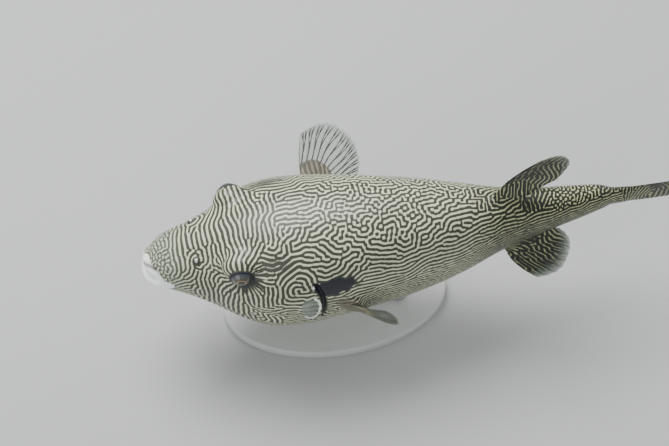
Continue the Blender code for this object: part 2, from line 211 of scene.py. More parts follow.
def grid_faces(rows, columns, wrap):
    """Quads between the points of a grid stored row by row; wrap joins the last column to the first."""
    row, column = np.meshgrid(np.arange(rows - 1), np.arange(columns if wrap else columns - 1), indexing="ij")
    after = (column + 1) % columns
    here, below = row * columns, (row + 1) * columns
    quads = np.stack((here + column, here + after, below + after, below + column), axis=-1)
    return [tuple(quad) for quad in quads.reshape(-1, 4).tolist()]


def closed_loft(rings):
    """Vertices and faces of a closed skin over an array of rings, each an array of points."""
    rows, columns = rings.shape[:2]
    faces = grid_faces(rows, columns, wrap=True)
    first, last = rows * columns, rows * columns + 1
    points = np.concatenate((rings.reshape(-1, 3), rings[0].mean(axis=0)[None], rings[-1].mean(axis=0)[None]))
    for k in range(columns):
        after = (k + 1) % columns
        faces.append((first, after, k))
        faces.append((last, (rows - 1) * columns + k, (rows - 1) * columns + after))
    return points, faces


def ellipsoid(centre, radii, lean=0.0, rings=28):
    polar = np.pi * (np.arange(rings) + 0.5) / rings
    turn = full_turn(rings * 2)
    x = np.cos(polar)[:, None] * np.ones_like(turn)
    ring = np.sin(polar)[:, None]
    ball = np.stack((x, ring * np.cos(turn), ring * np.sin(turn)), axis=-1)
    ball = ball * np.asarray(radii) * STANDARD_LENGTH
    tilted = ball.copy()
    tilted[..., 0] = ball[..., 0] * math.cos(lean) + ball[..., 2] * math.sin(lean)
    tilted[..., 2] = -ball[..., 0] * math.sin(lean) + ball[..., 2] * math.cos(lean)
    return closed_loft(tilted + centre)


def lip_line(front, half_width, rise, steps=60):
    """Points from the right corner of the mouth round the front to the left one."""
    turn = np.pi * (np.linspace(0, 1, steps) - 0.5)
    at = front + MOUTH_DEPTH * (1 - np.cos(turn))
    return place(at, -half_width * np.sin(turn), MOUTH_HEIGHT + rise * np.cos(turn))


def lip_roll(front, half_width, rise, radius):
    """A soft roll along the mouth's edge, thinner at its corners."""
    line = lip_line(front, half_width, rise)
    share = np.linspace(0, 1, len(line))
    size = radius * STANDARD_LENGTH * (0.55 + 0.45 * np.clip(np.minimum(share, 1 - share) * 4, 0, 1))
    ahead = unit(np.gradient(line, axis=0))
    side = unit(np.cross(ahead, UP))
    above = np.cross(side, ahead)
    turn = full_turn(28)
    ring = np.cos(turn)[None, :, None] * side[:, None] + np.sin(turn)[None, :, None] * above[:, None]
    return closed_loft(line[:, None] + ring * size[:, None, None])


def fin_points(fin, across, along):
    """Points of a fin's middle surface: across runs from leading to trailing ray, along from root to tip."""
    across, along = np.broadcast_arrays(np.asarray(across, float), np.asarray(along, float))
    start, end = (place(*corner) for corner in fin["root"])
    sweep = np.radians(fin["sweep"][0] + (fin["sweep"][1] - fin["sweep"][0]) * across)[..., None]
    rise = (fin["rise"][0] + (fin["rise"][1] - fin["rise"][0]) * across)[..., None]
    to_tail = fin.get("across", BACK)
    outward = unit(fin["out"])
    direction = unit(outward * np.cos(sweep) + to_tail * np.sin(sweep) + UP * rise)
    table = np.array([(k / (len(fin["rays"]) - 1), length) for k, length in enumerate(fin["rays"])])
    reach = curve_through(table, 1, across) * STANDARD_LENGTH
    start_depth = FIN_START * STANDARD_LENGTH
    distance = along * (reach + start_depth) - start_depth
    share = np.maximum(distance / reach, 0.0)
    normal = unit(np.cross(to_tail, outward))
    ahead = np.cross(normal, direction)
    bend_across = normal * (fin["cup"] * STANDARD_LENGTH * share**2)[..., None]
    bend_ahead = ahead * (fin["bulge"] * reach * 4 * share * (1 - share) * (1 - across))[..., None]
    root = start + (end - start) * across[..., None]
    return root + direction * distance[..., None] + bend_across + bend_ahead


def sheet_normals(points):
    return unit(np.cross(np.gradient(points, axis=0), np.gradient(points, axis=1)))


FLESH_END = 0.52       # how far out along a fin its fleshy base reaches
FLESH_LEAST = 0.0024   # thinnest flesh that the skin holds
FLESH_TAPER = 2.2


def fin_base(fin):
    """The fleshy base of a fin, a closed pad that thins outwards."""
    across, along = np.meshgrid(np.linspace(0.0, 1.0, 60), np.linspace(0.0, FLESH_END, 60), indexing="ij")
    inset = 0.5 + (across - 0.5) * (1.02 - 0.03 * along)
    middle = fin_points(fin, inset, along)
    normals = sheet_normals(middle)
    swell = (1 - along) ** FLESH_TAPER * np.maximum(4 * across * (1 - across), 0.0) ** 0.35
    thick = np.maximum(swell * fin["root_thick"] * STANDARD_LENGTH, FLESH_LEAST)
    half = (thick / 2)[..., None] * normals
    rings = np.concatenate((middle + half, (middle - half)[:, ::-1]), axis=1)
    return closed_loft(rings)


def new_mesh(name, points, faces):
    mesh = bpy.data.meshes.new(name)
    mesh.from_pydata(np.asarray(points).tolist(), [], faces)
    mesh.update()
    return mesh


def new_piece(name, mesh, *materials):
    piece = bpy.data.objects.new(name, mesh)
    bpy.context.scene.collection.objects.link(piece)
    mesh.materials.clear()
    for finish in materials:
        mesh.materials.append(finish)
    return piece


def baked(piece):
    """The piece's mesh with its modifiers in it; the modifiers go."""
    mesh = bpy.data.meshes.new_from_object(piece.evaluated_get(bpy.context.evaluated_depsgraph_get()))
    piece.modifiers.clear()
    old, piece.data = piece.data, mesh
    bpy.data.meshes.remove(old)
    mesh.name = piece.name
    return mesh


def face_outwards(mesh):
    bm = bmesh.new()
    bm.from_mesh(mesh)
    bmesh.ops.recalc_face_normals(bm, faces=bm.faces)
    bm.to_mesh(mesh)
    bm.free()


def solid_mesh(name, points, faces, sharp_from=None):
    """A closed mesh, smooth but for the edges above an angle in degrees."""
    mesh = new_mesh(name, points, faces)
    face_outwards(mesh)
    mesh.shade_smooth()
    if sharp_from:
        mesh.set_sharp_from_angle(angle=math.radians(sharp_from))
    return mesh


def mesh_points(mesh):
    flat = np.empty(len(mesh.vertices) * 3, np.float32)
    mesh.vertices.foreach_get("co", flat)
    return flat.reshape(-1, 3).astype(float)


def set_points(mesh, points):
    mesh.vertices.foreach_set("co", np.asarray(points, np.float32).ravel())
    mesh.update()


def mesh_triangles(mesh):
    mesh.calc_loop_triangles()
    flat = np.empty(len(mesh.loop_triangles) * 3, np.int32)
    mesh.loop_triangles.foreach_get("vertices", flat)
    return flat.reshape(-1, 3)


def vertex_normals(points, triangles):
    a, b, c = (points[triangles[:, k]] for k in range(3))
    face = np.cross(b - a, c - a)
    total = np.stack([
        sum(np.bincount(triangles[:, k], face[:, axis], len(points)) for k in range(3)) for axis in range(3)
    ], axis=-1)
    return unit(total)


def store(mesh, name, values):
    mesh.attributes.new(name, "FLOAT", "POINT").data.foreach_set("value", np.asarray(values, np.float32))


class Neighbours:
    """The edges of a mesh, sorted by vertex, for averaging over each vertex's neighbours."""

    def __init__(self, mesh):
        flat = np.empty(len(mesh.edges) * 2, np.int32)
        mesh.edges.foreach_get("vertices", flat)
        ends = flat.reshape(-1, 2)
        both = np.concatenate((ends, ends[:, ::-1]))
        both = both[np.argsort(both[:, 0], kind="stable")]
        self.other = both[:, 1]
        self.count = np.bincount(both[:, 0], minlength=len(mesh.vertices))
        self.start = np.concatenate(((0,), np.cumsum(self.count)[:-1]))

    def mean(self, values):
        total = np.add.reduceat(values[self.other], self.start, axis=0)
        return total / (self.count[:, None] if values.ndim > 1 else self.count)


# The remesh is even in size, so the body is stretched for it where the skin needs more detail (the
# head and the tail stalk) and squeezed where it needs less (the belly), and put back afterwards.
HEAD_DETAIL, TAIL_DETAIL, BELLY_DETAIL = 1.12, 1.26, 0.745
STRETCH_SHARES = np.linspace(-0.1, 1.4, 600)
STRETCH_RATE = 1 + (HEAD_DETAIL - 1) * smooth_fall(0.26, 0.42, STRETCH_SHARES)
STRETCH_RATE += (TAIL_DETAIL - 1) * smooth_step(0.855, 0.890, STRETCH_SHARES)
STRETCH_SUM = np.concatenate((
    (0,), np.cumsum((STRETCH_RATE[1:] + STRETCH_RATE[:-1]) / 2 * np.diff(STRETCH_SHARES)),
))


def belly_squeeze(level):
    return 1 - (1 - BELLY_DETAIL) * smooth_step(0.01, 0.075, -level)


def stretched(points):
    share = (points[:, 0] - SNOUT_X) / STANDARD_LENGTH
    rate = np.interp(share, STRETCH_SHARES, STRETCH_RATE)
    level = (points[:, 2] - AXIS_Z) * rate
    squeeze = belly_squeeze(level)
    x = np.interp(share, STRETCH_SHARES, STRETCH_SUM) * STANDARD_LENGTH
    z = np.where(level > 0, level, level * BELLY_DETAIL)
    return np.stack((x * squeeze, points[:, 1] * rate * squeeze, z), axis=-1)


def put_back(points):
    """The reverse of stretched()."""
    level = np.where(points[:, 2] > 0, points[:, 2], points[:, 2] / BELLY_DETAIL)
    squeeze = belly_squeeze(level)
    share = np.interp(points[:, 0] / squeeze / STANDARD_LENGTH, STRETCH_SUM, STRETCH_SHARES)
    rate = np.interp(share, STRETCH_SHARES, STRETCH_RATE)
    x = SNOUT_X + share * STANDARD_LENGTH
    return np.stack((x, points[:, 1] / squeeze / rate, AXIS_Z + level / rate), axis=-1)


NOSTRIL = (NASAL_FLAP["at"], NASAL_FLAP["side"], surface_height(NASAL_FLAP["at"], NASAL_FLAP["side"]))


def raw_flesh():
    """Everything that the skin covers, as closed shapes that run into one another."""
    snout = SNOUT_START + SNOUT_DOME * (1 - np.cos(np.linspace(0.04, 1, 26) * np.pi / 2))
    stalk = STALK_END - STALK_DOME * (1 - np.sin(np.linspace(0.02, 1, 14) * np.pi / 2))
    middle = np.arange(snout[-1] + 0.006, stalk[0] - 0.003, 0.0065)
    at = np.concatenate((snout, middle, stalk))
    rings = body_surface(*np.meshgrid(at, full_turn(150), indexing="ij"))
    mouth = place(MOUTH_HOLLOW["at"], 0.0, MOUTH_HEIGHT)
    reach, half_width, half_height = (share * STANDARD_LENGTH for share in MOUTH_HOLLOW["radii"])
    across, upward = (rings[..., 1] - mouth[1]) / half_width, (rings[..., 2] - mouth[2]) / half_height
    inside = 1 - across**2 - upward**2
    floor = mouth[0] + reach * np.sqrt(np.maximum(inside, 0.0))
    carved = (inside > 0) & (rings[..., 0] < floor) & (at[:, None] < 0.1)
    rings[..., 0] = np.where(carved, np.minimum(floor, mouth[0] + reach), rings[..., 0])
    shapes = [closed_loft(rings)]
    shapes += [lip_roll(*lip) for lip in LIPS.values()]
    for side, _ in SIDES:
        brow = place(BROW["at"], side * BROW["side"], BROW["height"])
        shapes.append(ellipsoid(brow, BROW["radii"]))
        at, height = GILL_COVER["at"], GILL_COVER["height"]
        cover = place(at, side * surface_side(at, height), height)
        shapes.append(ellipsoid(cover, GILL_COVER["radii"], GILL_COVER["lean"]))
        nostril = place(NOSTRIL[0], side * NOSTRIL[1], NOSTRIL[2])
        shapes.append(ellipsoid(nostril, NASAL_FLAP["radii"], rings=14))
    shapes += [fin_base(fin) for fin in FINS.values()]
    points, faces, count = [], [], 0
    for shape_points, shape_faces in shapes:
        points.append(shape_points)
        faces += [tuple(corner + count for corner in face) for face in shape_faces]
        count += len(shape_points)
    return np.concatenate(points), faces


SKIN_GRAIN = 0.00152   # size of the skin's faces at the back

flesh_points, flesh_faces = raw_flesh()
flesh_mesh = new_mesh("skin", stretched(flesh_points), flesh_faces)
face_outwards(flesh_mesh)
skin = new_piece("skin", flesh_mesh)
remesh = skin.modifiers.new("One skin", "REMESH")
remesh.mode = "VOXEL"
remesh.voxel_size = SKIN_GRAIN
remesh.adaptivity = 0.0
skin_mesh = baked(skin)
points = put_back(mesh_points(skin_mesh))
around = Neighbours(skin_mesh)
triangles = mesh_triangles(skin_mesh)


def relaxed(points, times):
    """Even smoothing that keeps the volume."""
    for _ in range(times):
        for step in (0.5, -0.52):
            points = points + (around.mean(points) - points) * step
    return points


def patch(shares, centre, sizes, power=2.0):
    """1 at the centre of a patch of the skin, falling to 0 round it."""
    distance = sum(((share - middle) / size) ** 2 for share, middle, size in zip(shares, centre, sizes))
    return bell(distance, power / 2)


def finder_of(spots):
    finder = KDTree(len(spots))
    for index, spot in enumerate(spots):
        finder.insert(spot, index)
    finder.balance()
    return finder


FIN_ROWS, FIN_COLUMNS, GRID_START = 44, 76, 0.15


def fin_grid(fin):
    across, along = np.meshgrid(
        np.linspace(0, 1, FIN_ROWS), np.linspace(GRID_START, 1, FIN_COLUMNS), indexing="ij"
    )
    return across, along, fin_points(fin, across, along)


CREASE_ROUNDS, CREASE_FILL, CREASE_SLIDE = 70, 0.8, 0.3
points = relaxed(points, 6)
shares = body_shares(points)
near_mouth = patch(shares, (0.045, 0.0, MOUTH_HEIGHT), (0.062, 0.062, 0.062))[:, None]
creases = smooth_fall(0.25, 0.6, near_mouth)
for _ in range(CREASE_ROUNDS):  # fills the creases where one form runs into another
    toward = around.mean(points) - points
    normals = vertex_normals(points, triangles)
    outward = np.sum(toward * normals, axis=1, keepdims=True)
    filled = normals * np.maximum(outward, 0.0) * CREASE_FILL * creases
    points = points + filled + (toward - outward * normals) * CREASE_SLIDE
points = relaxed(points, 4)

# The fleshy bases thin out to the fins' own skins at their ends.
FIN_REACH = 0.008   # skin further than this from a fin's middle surface is not the fin's
fin_near = {}
for fin_name, fin in FINS.items():
    _, along, middle = fin_grid(fin)
    spots, off_sheet = middle.reshape(-1, 3), sheet_normals(middle).reshape(-1, 3)
    low, high = spots.min(axis=0) - FIN_REACH, spots.max(axis=0) + FIN_REACH
    close = np.flatnonzero(((points > low) & (points < high)).all(axis=1))
    finder = finder_of(spots)
    found = [finder.find(points[index]) for index in close]
    nearest, gap = np.array([hit[1] for hit in found]), np.array([hit[2] for hit in found])
    out_here = along.ravel()[nearest]
    fin_near[fin_name] = close, nearest, smooth_step(0.010, 0.005, gap) * smooth_step(0.19, 0.30, out_here)
    thinner = smooth_step(0.26, FLESH_END - 0.02, out_here) * (gap < FIN_REACH) * 0.62
    off = np.sum((points[close] - spots[nearest]) * off_sheet[nearest], axis=1)
    points[close] -= off_sheet[nearest] * (off * thinner)[:, None]

# The eye openings: inside them the skin lies behind the eyeball, and a soft lid stands round it.
EYE_OPENING = math.radians(63)
EYE_TURNED = {side: unit(np.array((-0.10, side, 0.06))) for side, _ in SIDES}
LID_REACH = 2.2   # in eye radii
BEHIND_EYE, LID_RISE = 0.0018, 0.0013
eye_angle = {}
for side_sign, centre in EYE_CENTRES.items():
    away = points - centre
    distance = np.linalg.norm(away, axis=1)
    turn = np.arccos(np.clip(away @ EYE_TURNED[side_sign] / distance, -1, 1))
    turn[distance > EYE_RADIUS * LID_REACH] = math.pi
    eye_angle[side_sign] = turn
    behind, lid = EYE_RADIUS - BEHIND_EYE, EYE_RADIUS + LID_RISE
    opening = smooth_step(EYE_OPENING - 0.09, EYE_OPENING + 0.07, turn)
    outside = smooth_step(EYE_OPENING + 0.14, EYE_OPENING + 0.62, turn)
    radius = (behind + (lid - behind) * opening) * (1 - outside) + distance * outside
    points = centre + away / distance[:, None] * radius[:, None]

# The gill openings: a long slit behind each gill cover, whose edge is a soft fold, and a low flap
# in front of it with a rounded rear edge.
GILL_TOP, GILL_FOOT, GILL_AT = 0.078, -0.048, 0.357
FLAP_AT, FLAP_HEIGHT, FLAP_LONG, FLAP_TALL = 0.343, 0.012, 0.0215, 0.0265
SLIT_DEPTH, RIM_RISE, FLAP_RISE = 0.0048, 0.0013, 0.0007
at, side, height = body_shares(points)
normals = vertex_normals(points, triangles)
level = (height - (GILL_TOP + GILL_FOOT) / 2) / ((GILL_TOP - GILL_FOOT) / 2)
slit_at = GILL_AT + 0.014 * (1 - level**2) - 0.006 * level
slit_part = smooth_fall(0.80, 1.02, np.abs(level)) * smooth_step(0.06, 0.09, np.abs(side))
for fin_name in PECTORALS:
    close, _, near = fin_near[fin_name]
    slit_part[close] *= 1 - near
gill_slit = bell((at - slit_at - 0.004) / 0.0052) * slit_part
gill_rim = bell((at - slit_at + 0.0045) / 0.0048) * slit_part
flap_reach = np.hypot((at - FLAP_AT) / FLAP_LONG, (height - FLAP_HEIGHT) / FLAP_TALL)
flap_rear = (at - FLAP_AT) / FLAP_LONG - 0.6 * (height - FLAP_HEIGHT) / FLAP_TALL
flap_edge = bell((flap_reach - 1) / 0.12) * smooth_step(0.05, 0.09, np.abs(side))
flap_edge = flap_edge * smooth_step(-0.35, 0.15, flap_rear) * smooth_fall(0.0, 0.004, at - slit_at)
points = points + normals * (gill_rim * RIM_RISE + flap_edge * FLAP_RISE - gill_slit * SLIT_DEPTH)[:, None]

# The fold over the left half of the upper lip, which ends in a small pit.
FOLD_DEPTH, PIT_DEPTH = 0.0009, 0.0016
fold = bell((height - 0.0128 + 0.32 * side) / 0.0035) * (at < 0.05)
fold *= smooth_step(0.003, 0.008, -side) * smooth_fall(0.028, 0.034, -side)
fold_pit = patch((at, side, height), (0.029, -0.031, 0.0225), (0.0056, 0.0056, 0.0056))
points = points - normals * (fold * FOLD_DEPTH + fold_pit * PIT_DEPTH)[:, None]
points = relaxed(points, 1)
set_points(skin_mesh, points)
skin_mesh.shade_smooth()


def drift(points, size, seed):
    """A soft wandering value, about -1 to 1, with swells of one size."""
    wander = np.random.default_rng(seed)
    total = np.zeros(len(points))
    for _ in range(9):
        wave = unit(wander.normal(size=3)) * 2 * np.pi / (size * wander.uniform(0.75, 1.4))
        total += np.sin(points @ wave + wander.uniform(0, 2 * np.pi))
    return total / 3


def lines_towards(points, normals, pulls):
    """One direction and pull for each point from several: pairs of a direction and how strong it is."""
    ahead = unit(BACK - normals * (normals @ BACK)[:, None])
    across = np.cross(normals, ahead)
    twice_cos, twice_sin = np.zeros(len(points)), np.zeros(len(points))
    for direction, pull in pulls:
        u, v = np.sum(direction * ahead, axis=-1), np.sum(direction * across, axis=-1)
        size = np.maximum(u * u + v * v, 1e-12)
        twice_cos += pull * (u * u - v * v) / size
        twice_sin += pull * 2 * u * v / size
    return np.arctan2(twice_sin, twice_cos) / 2, np.hypot(twice_cos, twice_sin), ahead, across


GATHERING, SPOT_EASE = 0.42, 0.14   # how strongly the two colours part, and less where they form spots


def grow_lines(points, triangles, along, pull, pitch, spots, seed, time, stiffest=5.5, held=None):
    """The way such lines form in a fish: two colours of skin that each gather at one pitch. along and
    pull turn the lines into a direction, spots breaks them up into pale spots, and held is a pair of
    point numbers and values that stay as they are."""
    count = len(points)
    corner = points[triangles]
    normal = np.cross(corner[:, 1] - corner[:, 0], corner[:, 2] - corner[:, 0])
    twice_area = np.maximum(np.linalg.norm(normal, axis=1, keepdims=True), 1e-12)
    opposite = corner[:, (2, 0, 1)] - corner[:, (1, 2, 0)]
    slope = np.cross((normal / twice_area)[:, None], opposite) / twice_area[:, None]
    area = twice_area[:, 0] / 2
    mass = sum(np.bincount(triangles[:, k], area / 3, count) for k in range(3))
    pulled_along = along * np.sqrt(pull)[:, None]
    tensor = (pulled_along[:, :, None] * pulled_along[:, None, :])[triangles].mean(axis=1)
    keys, even, directed = [], [], []
    for i, j in ((0, 1), (1, 2), (2, 0)):
        one, two = triangles[:, i].astype(np.int64), triangles[:, j].astype(np.int64)
        keys += [one * count + two, two * count + one]
        even += [-area * np.sum(slope[:, i] * slope[:, j], axis=1)] * 2
        directed += [-area * np.einsum("ta,tab,tb->t", slope[:, i], tensor, slope[:, j])] * 2
    key, place_of = np.unique(np.concatenate(keys), return_inverse=True)
    even = np.bincount(place_of, np.concatenate(even)).astype(np.float32)
    directed = np.bincount(place_of, np.concatenate(directed)).astype(np.float32)
    rows, other = key // count, key % count
    start = np.searchsorted(rows, np.arange(count))
    even_sum, directed_sum = np.add.reduceat(even, start), np.add.reduceat(directed, start)
    scale = (pitch / (2 * np.pi)) ** 2
    mass = np.maximum(mass, scale * 2 * np.add.reduceat(np.abs(even), start) / stiffest).astype(np.float32)
    scale = (scale / mass).astype(np.float32)
    step = np.float32(1.7 / (stiffest - 1) ** 2)
    spots = spots.astype(np.float32)
    strength = (GATHERING - SPOT_EASE * spots).astype(np.float32)

    def spread(weights, total, values):
        return scale * (np.add.reduceat(weights * values[other], start) - total * values)

    value = np.random.default_rng(seed).normal(0, 0.5, count).astype(np.float32)
    easy = np.float32(1.7 / stiffest)
    for _ in range(int(4.4 * stiffest)):
        value += easy * (spread(directed, directed_sum, value) + 0.25 * spread(even, even_sum, value))
    for _ in range(int(time / step)):
        if held is not None:
            value[held[0]] = held[1]
        gathered = value + spread(even, even_sum, value)
        gathered += spread(even, even_sum, gathered)
        value += step * (
            strength * value - gathered + spread(directed, directed_sum, value) + spots * value**2 - value**3
        )
    return value


# The number of rays, then the lines' pitch, turn from the rays in degrees and pull, and where the fin's
# clear margin starts.
FIN_LOOKS = {
    "dorsal_fin": dict(rays=11, pitch=0.0045, turned=42, pull=0.42, clear_from=1.03),
    "anal_fin": dict(rays=10, pitch=0.0048, turned=24, pull=0.30, clear_from=0.97),
    "caudal_fin": dict(rays=10, pitch=0.0050, turned=84, pull=0.40, clear_from=1.03),
    "pectoral_fin_right": dict(rays=12, pitch=0.0050, turned=30, pull=0.30, clear_from=0.42),
    "pectoral_fin_left": dict(rays=12, pitch=0.0050, turned=30, pull=0.30, clear_from=0.42),
}
FIN_SEED = 40


def fin_line_direction(middle, turned, seed):
    """Which way a fin's lines run on its grid: turned from the rays, and wandering a little."""
    outward = unit(np.gradient(middle, axis=1))
    backward = unit(np.cross(sheet_normals(middle), outward))
    turn = math.radians(turned) + 0.35 * drift(middle.reshape(-1, 3), 0.035, seed).reshape(middle.shape[:2])
    return outward * np.cos(turn)[..., None] + backward * np.sin(turn)[..., None]


# Where the lines run which way: across the head, lengthwise on the body, in bars and dots on the
# tail stalk, towards the eyes, and round the gill covers, the nostrils and the mouth's corners.
at, side, height = body_shares(points)
normals = vertex_normals(points, triangles)
shares = (at, np.abs(side), height)
on_flank = smooth_step(0.05, 0.09, np.abs(side))
head_edge = at + 0.034 * drift(points, 0.040, 5) + 0.022 * drift(points, 0.018, 8)
head_part = smooth_fall(0.215, 0.335, head_edge)
tail_part = smooth_step(0.66, 0.76, at)
top_part = smooth_step(0.05, 0.12, height)
belly_part = smooth_step(-0.085, -0.150, height)
knots = top_part * bell((at - 0.56) / 0.17, 4)
faces_up = normals[:, 2] + 0.10 * drift(points, 0.020, 9)
tail_bars = smooth_step(0.795, 0.835, at) * smooth_step(0.55, 0.85, faces_up)
tail_dots = smooth_step(0.870, 0.910, at) * smooth_step(0.25, 0.60, faces_up) * smooth_fall(0.990, 1.015, at)
eye_pull, from_eye = np.zeros(len(points)), np.zeros_like(points)
for side_sign, centre in EYE_CENTRES.items():
    reach = np.linalg.norm(points - centre, axis=1) / STANDARD_LENGTH
    eye_pull += bell(reach / 0.066, 3)
    from_eye += (points - centre) * (side * side_sign > 0)[:, None]
GILL_EYE_AT, GILL_EYE_HEIGHT = 0.329, 0.064   # the lines run round this place
gill_reach = np.sqrt((at - GILL_EYE_AT) ** 2 + (height - GILL_EYE_HEIGHT) ** 2)
gill_pull = bell(gill_reach / 0.055, 4) * on_flank * smooth_fall(0.335, 0.38, at)
gill_round = np.stack((-(height - GILL_EYE_HEIGHT), np.zeros_like(at), at - GILL_EYE_AT), axis=-1)
nostril_pull = patch(shares, NOSTRIL, (0.026, 0.026, 0.026), 3)
from_nostril = points - place(NOSTRIL[0], NOSTRIL[1] * np.sign(side), NOSTRIL[2])
corner_pull = patch(shares, (0.080, 0.060, -0.012), (0.060, 0.035, 0.050), 4) * smooth_step(0.055, 0.075, at)
from_corner = points - place(0.050, 0.056 * np.sign(side), -0.012)
across_body = np.cross(normals, BACK)
before_tail = 1 - np.maximum(tail_bars, tail_dots)
away_from_eye = 1 - np.clip(eye_pull + nostril_pull, 0, 1)
pulls = [
    (BACK, (0.20 + 0.28 * (1 - top_part)) * (1 - head_part) * (1 - 0.8 * knots) * before_tail),
    (across_body, 0.40 * tail_bars * (1 - tail_dots)),
    (across_body, 0.46 * head_part * away_from_eye * smooth_step(0.05, 0.09, at)),
    (from_eye, 0.85 * eye_pull), (gill_round, 0.75 * gill_pull),
    (np.cross(normals, from_nostril), 0.5 * nostril_pull), (from_corner, 0.55 * corner_pull),
]
FIN_PULL, MOST_PULL = 0.45, 0.62
pad_part = np.zeros(len(points))
for number, (fin_name, fin) in enumerate(FINS.items()):
    close, nearest, near = fin_near[fin_name]
    toward, share = np.zeros_like(points), np.zeros(len(points))
    fin_way = fin_line_direction(fin_grid(fin)[2], FIN_LOOKS[fin_name]["turned"], FIN_SEED + number)
    toward[close] = fin_way.reshape(-1, 3)[nearest]
    share[close] = near
    pulls = [(way, pull * (1 - share)) for way, pull in pulls] + [(toward, FIN_PULL * share)]
    pad_part = np.maximum(pad_part, share)
line_turn, line_pull, ahead, across = lines_towards(points, normals, pulls)
wobble = drift(points, 0.030, 3) * (0.30 + 0.45 * top_part * (1 - head_part))
line_turn = line_turn + wobble * (1 - pad_part)
line_along = ahead * np.cos(line_turn)[:, None] + across * np.sin(line_turn)[:, None]
line_pitch = (
    0.0053 - 0.0008 * smooth_fall(0.05, 0.11, at) + 0.0020 * belly_part
    - 0.0005 * tail_part - 0.0008 * smooth_step(0.860, 0.900, at)
)
line_spots = (
    0.60 * smooth_fall(0.055, 0.10, at) + 1.70 * tail_dots + 0.30 * tail_bars
    + 0.35 * knots * smooth_step(0.2, 0.8, drift(points, 0.05, 21))
)
line_field = grow_lines(
    points, triangles, line_along, np.clip(line_pull, 0, MOST_PULL), line_pitch, line_spots, seed=11,
    time=48.0,
)
line_field = line_field - 0.50 * tail_dots - 0.16 * tail_bars * (1 - tail_dots)
store(skin_mesh, "line_field", line_field)


def distance_to(points, line, most):
    """How far each point is from a line of points, at most some limit."""
    near = np.full(len(points), most)
    close = np.linalg.norm(points - line.mean(axis=0), axis=1) < 0.08
    gaps = points[close][:, None] - line[None]
    near[close] = np.minimum(np.sqrt((gaps**2).sum(-1)).min(axis=1), most)
    return near


# Where the paint changes: the white lips and muzzle, with a painted glint on each gill rim; the dark gill
# blotch and nostril rings, with painted shade in the gill slits and round the eyes; and the mouth, painted
# dark as its lining and as painted shade deep inside it and in the fold over the upper lip.
LIP_REACH = 0.02
lower_lip_gap, upper_lip_gap = (
    distance_to(points, lip_line(*LIPS[lip][:3]), LIP_REACH) for lip in ("lower", "upper")
)
lower_lip_near = smooth_fall(0.0062, 0.0085, lower_lip_gap)
white_top = 0.027 - 0.018 * smooth_step(-0.012, 0.030, side)
upper_lip_near = smooth_fall(0.0056, 0.0074, upper_lip_gap)
upper_lip_near *= smooth_fall(white_top, white_top + 0.006, height)
from_mouth = np.abs(height - MOUTH_HEIGHT)
muzzle_height = (white_top - MOUTH_HEIGHT) / 0.93
muzzle_reach = (np.abs((side + 0.004) / 0.055) ** 3 + (from_mouth / muzzle_height) ** 3) ** (1 / 3)
muzzle = smooth_fall(0.86, 1.04, muzzle_reach) * (at < 0.062)
# Deep in the mouth the skin is painted dark: its lining, and painted shade in the hollow.
in_mouth = smooth_fall(0.030, 0.040, np.abs(side)) * smooth_fall(0.009, 0.014, from_mouth)
in_mouth *= smooth_step(0.022, 0.028, at) * (at < 0.12)
nostril_lip = patch(shares, NOSTRIL, (0.0050, 0.0050, 0.0100), 4)
nostril_ring = patch(shares, NOSTRIL, (0.0088, 0.0088, 0.0110), 4)
pale_flesh = np.maximum(np.maximum(lower_lip_near, upper_lip_near), 0.56 * muzzle) * (1 - in_mouth)
pale_flesh = np.maximum(pale_flesh, nostril_lip)
# Painted shade round each eye: dark on the lid's edge and on the skin behind the eyeball.
eye_rim = sum(
    bell((np.minimum(turn, 2.4) - EYE_OPENING - 0.02) / 0.24) + (turn < EYE_OPENING)
    for turn in eye_angle.values()
)
ragged_edge = 1 + 0.16 * drift(points, 0.012, 31)
blotch_size = (0.044 * ragged_edge, 0.060, 0.025 * ragged_edge)
gill_blotch = patch(shares, (0.402, 0.133, 0.056), blotch_size, 7) * (1 - pad_part)
behind_brow = patch(shares, (0.285, 0.100, 0.110), (0.045, 0.020, 0.020), 3)
# Part of the dark paint is painted shade: inside the gill slits and round the eyes.
dark_flesh_and_shade = (
    gill_blotch + gill_slit * 1.1 + 0.9 * np.clip(eye_rim, 0, 1) + 0.42 * behind_brow + 0.8 * nostril_ring
)
dark_flesh_and_shade = np.clip(dark_flesh_and_shade, 0, 1) * (1 - 0.9 * nostril_lip)
# A painted glint, a painted highlight, at the top of each gill rim, and the pale rear edge of each gill flap.
rim_glint = 0.72 * gill_rim * patch(shares, (0.356, 0.133, 0.066), (0.012, 0.060, 0.006), 4) + flap_edge
brown_base = np.zeros(len(points))
for fin_name in PECTORALS:
    close, _, near = fin_near[fin_name]
    brown_base[close] = near * smooth_step(0.0, 0.5, near)
for name, values in (
    # The pale paint also carries the painted glint at the top of each gill rim.
    ("pale_flesh", np.clip(pale_flesh + rim_glint, 0, 1)), ("dark_flesh_and_shade", dark_flesh_and_shade),
    # Painted shade: the skin deep in the mouth, and the fold over the upper lip with its pit.
    ("mouth_and_fold_shade", np.clip(np.maximum(in_mouth, 0.80 * fold + fold_pit), 0, 1)),
    ("brown_base", brown_base), ("tail_tone", smooth_step(0.67, 0.80, at)),
    ("belly_tone", smooth_step(-0.06, -0.15, height) * (1 - tail_part)),
    ("flap_tone", smooth_fall(0.72, 0.96, flap_reach) * on_flank),
    ("snout_tone", smooth_fall(0.045, 0.115, at)),
):
    store(skin_mesh, name, values)


def feed(tree, socket, value):
    """Links another node's socket to a socket, or sets its value."""
    if isinstance(value, bpy.types.NodeSocket):
        tree.links.new(value, socket)
    else:
        socket.default_value = value


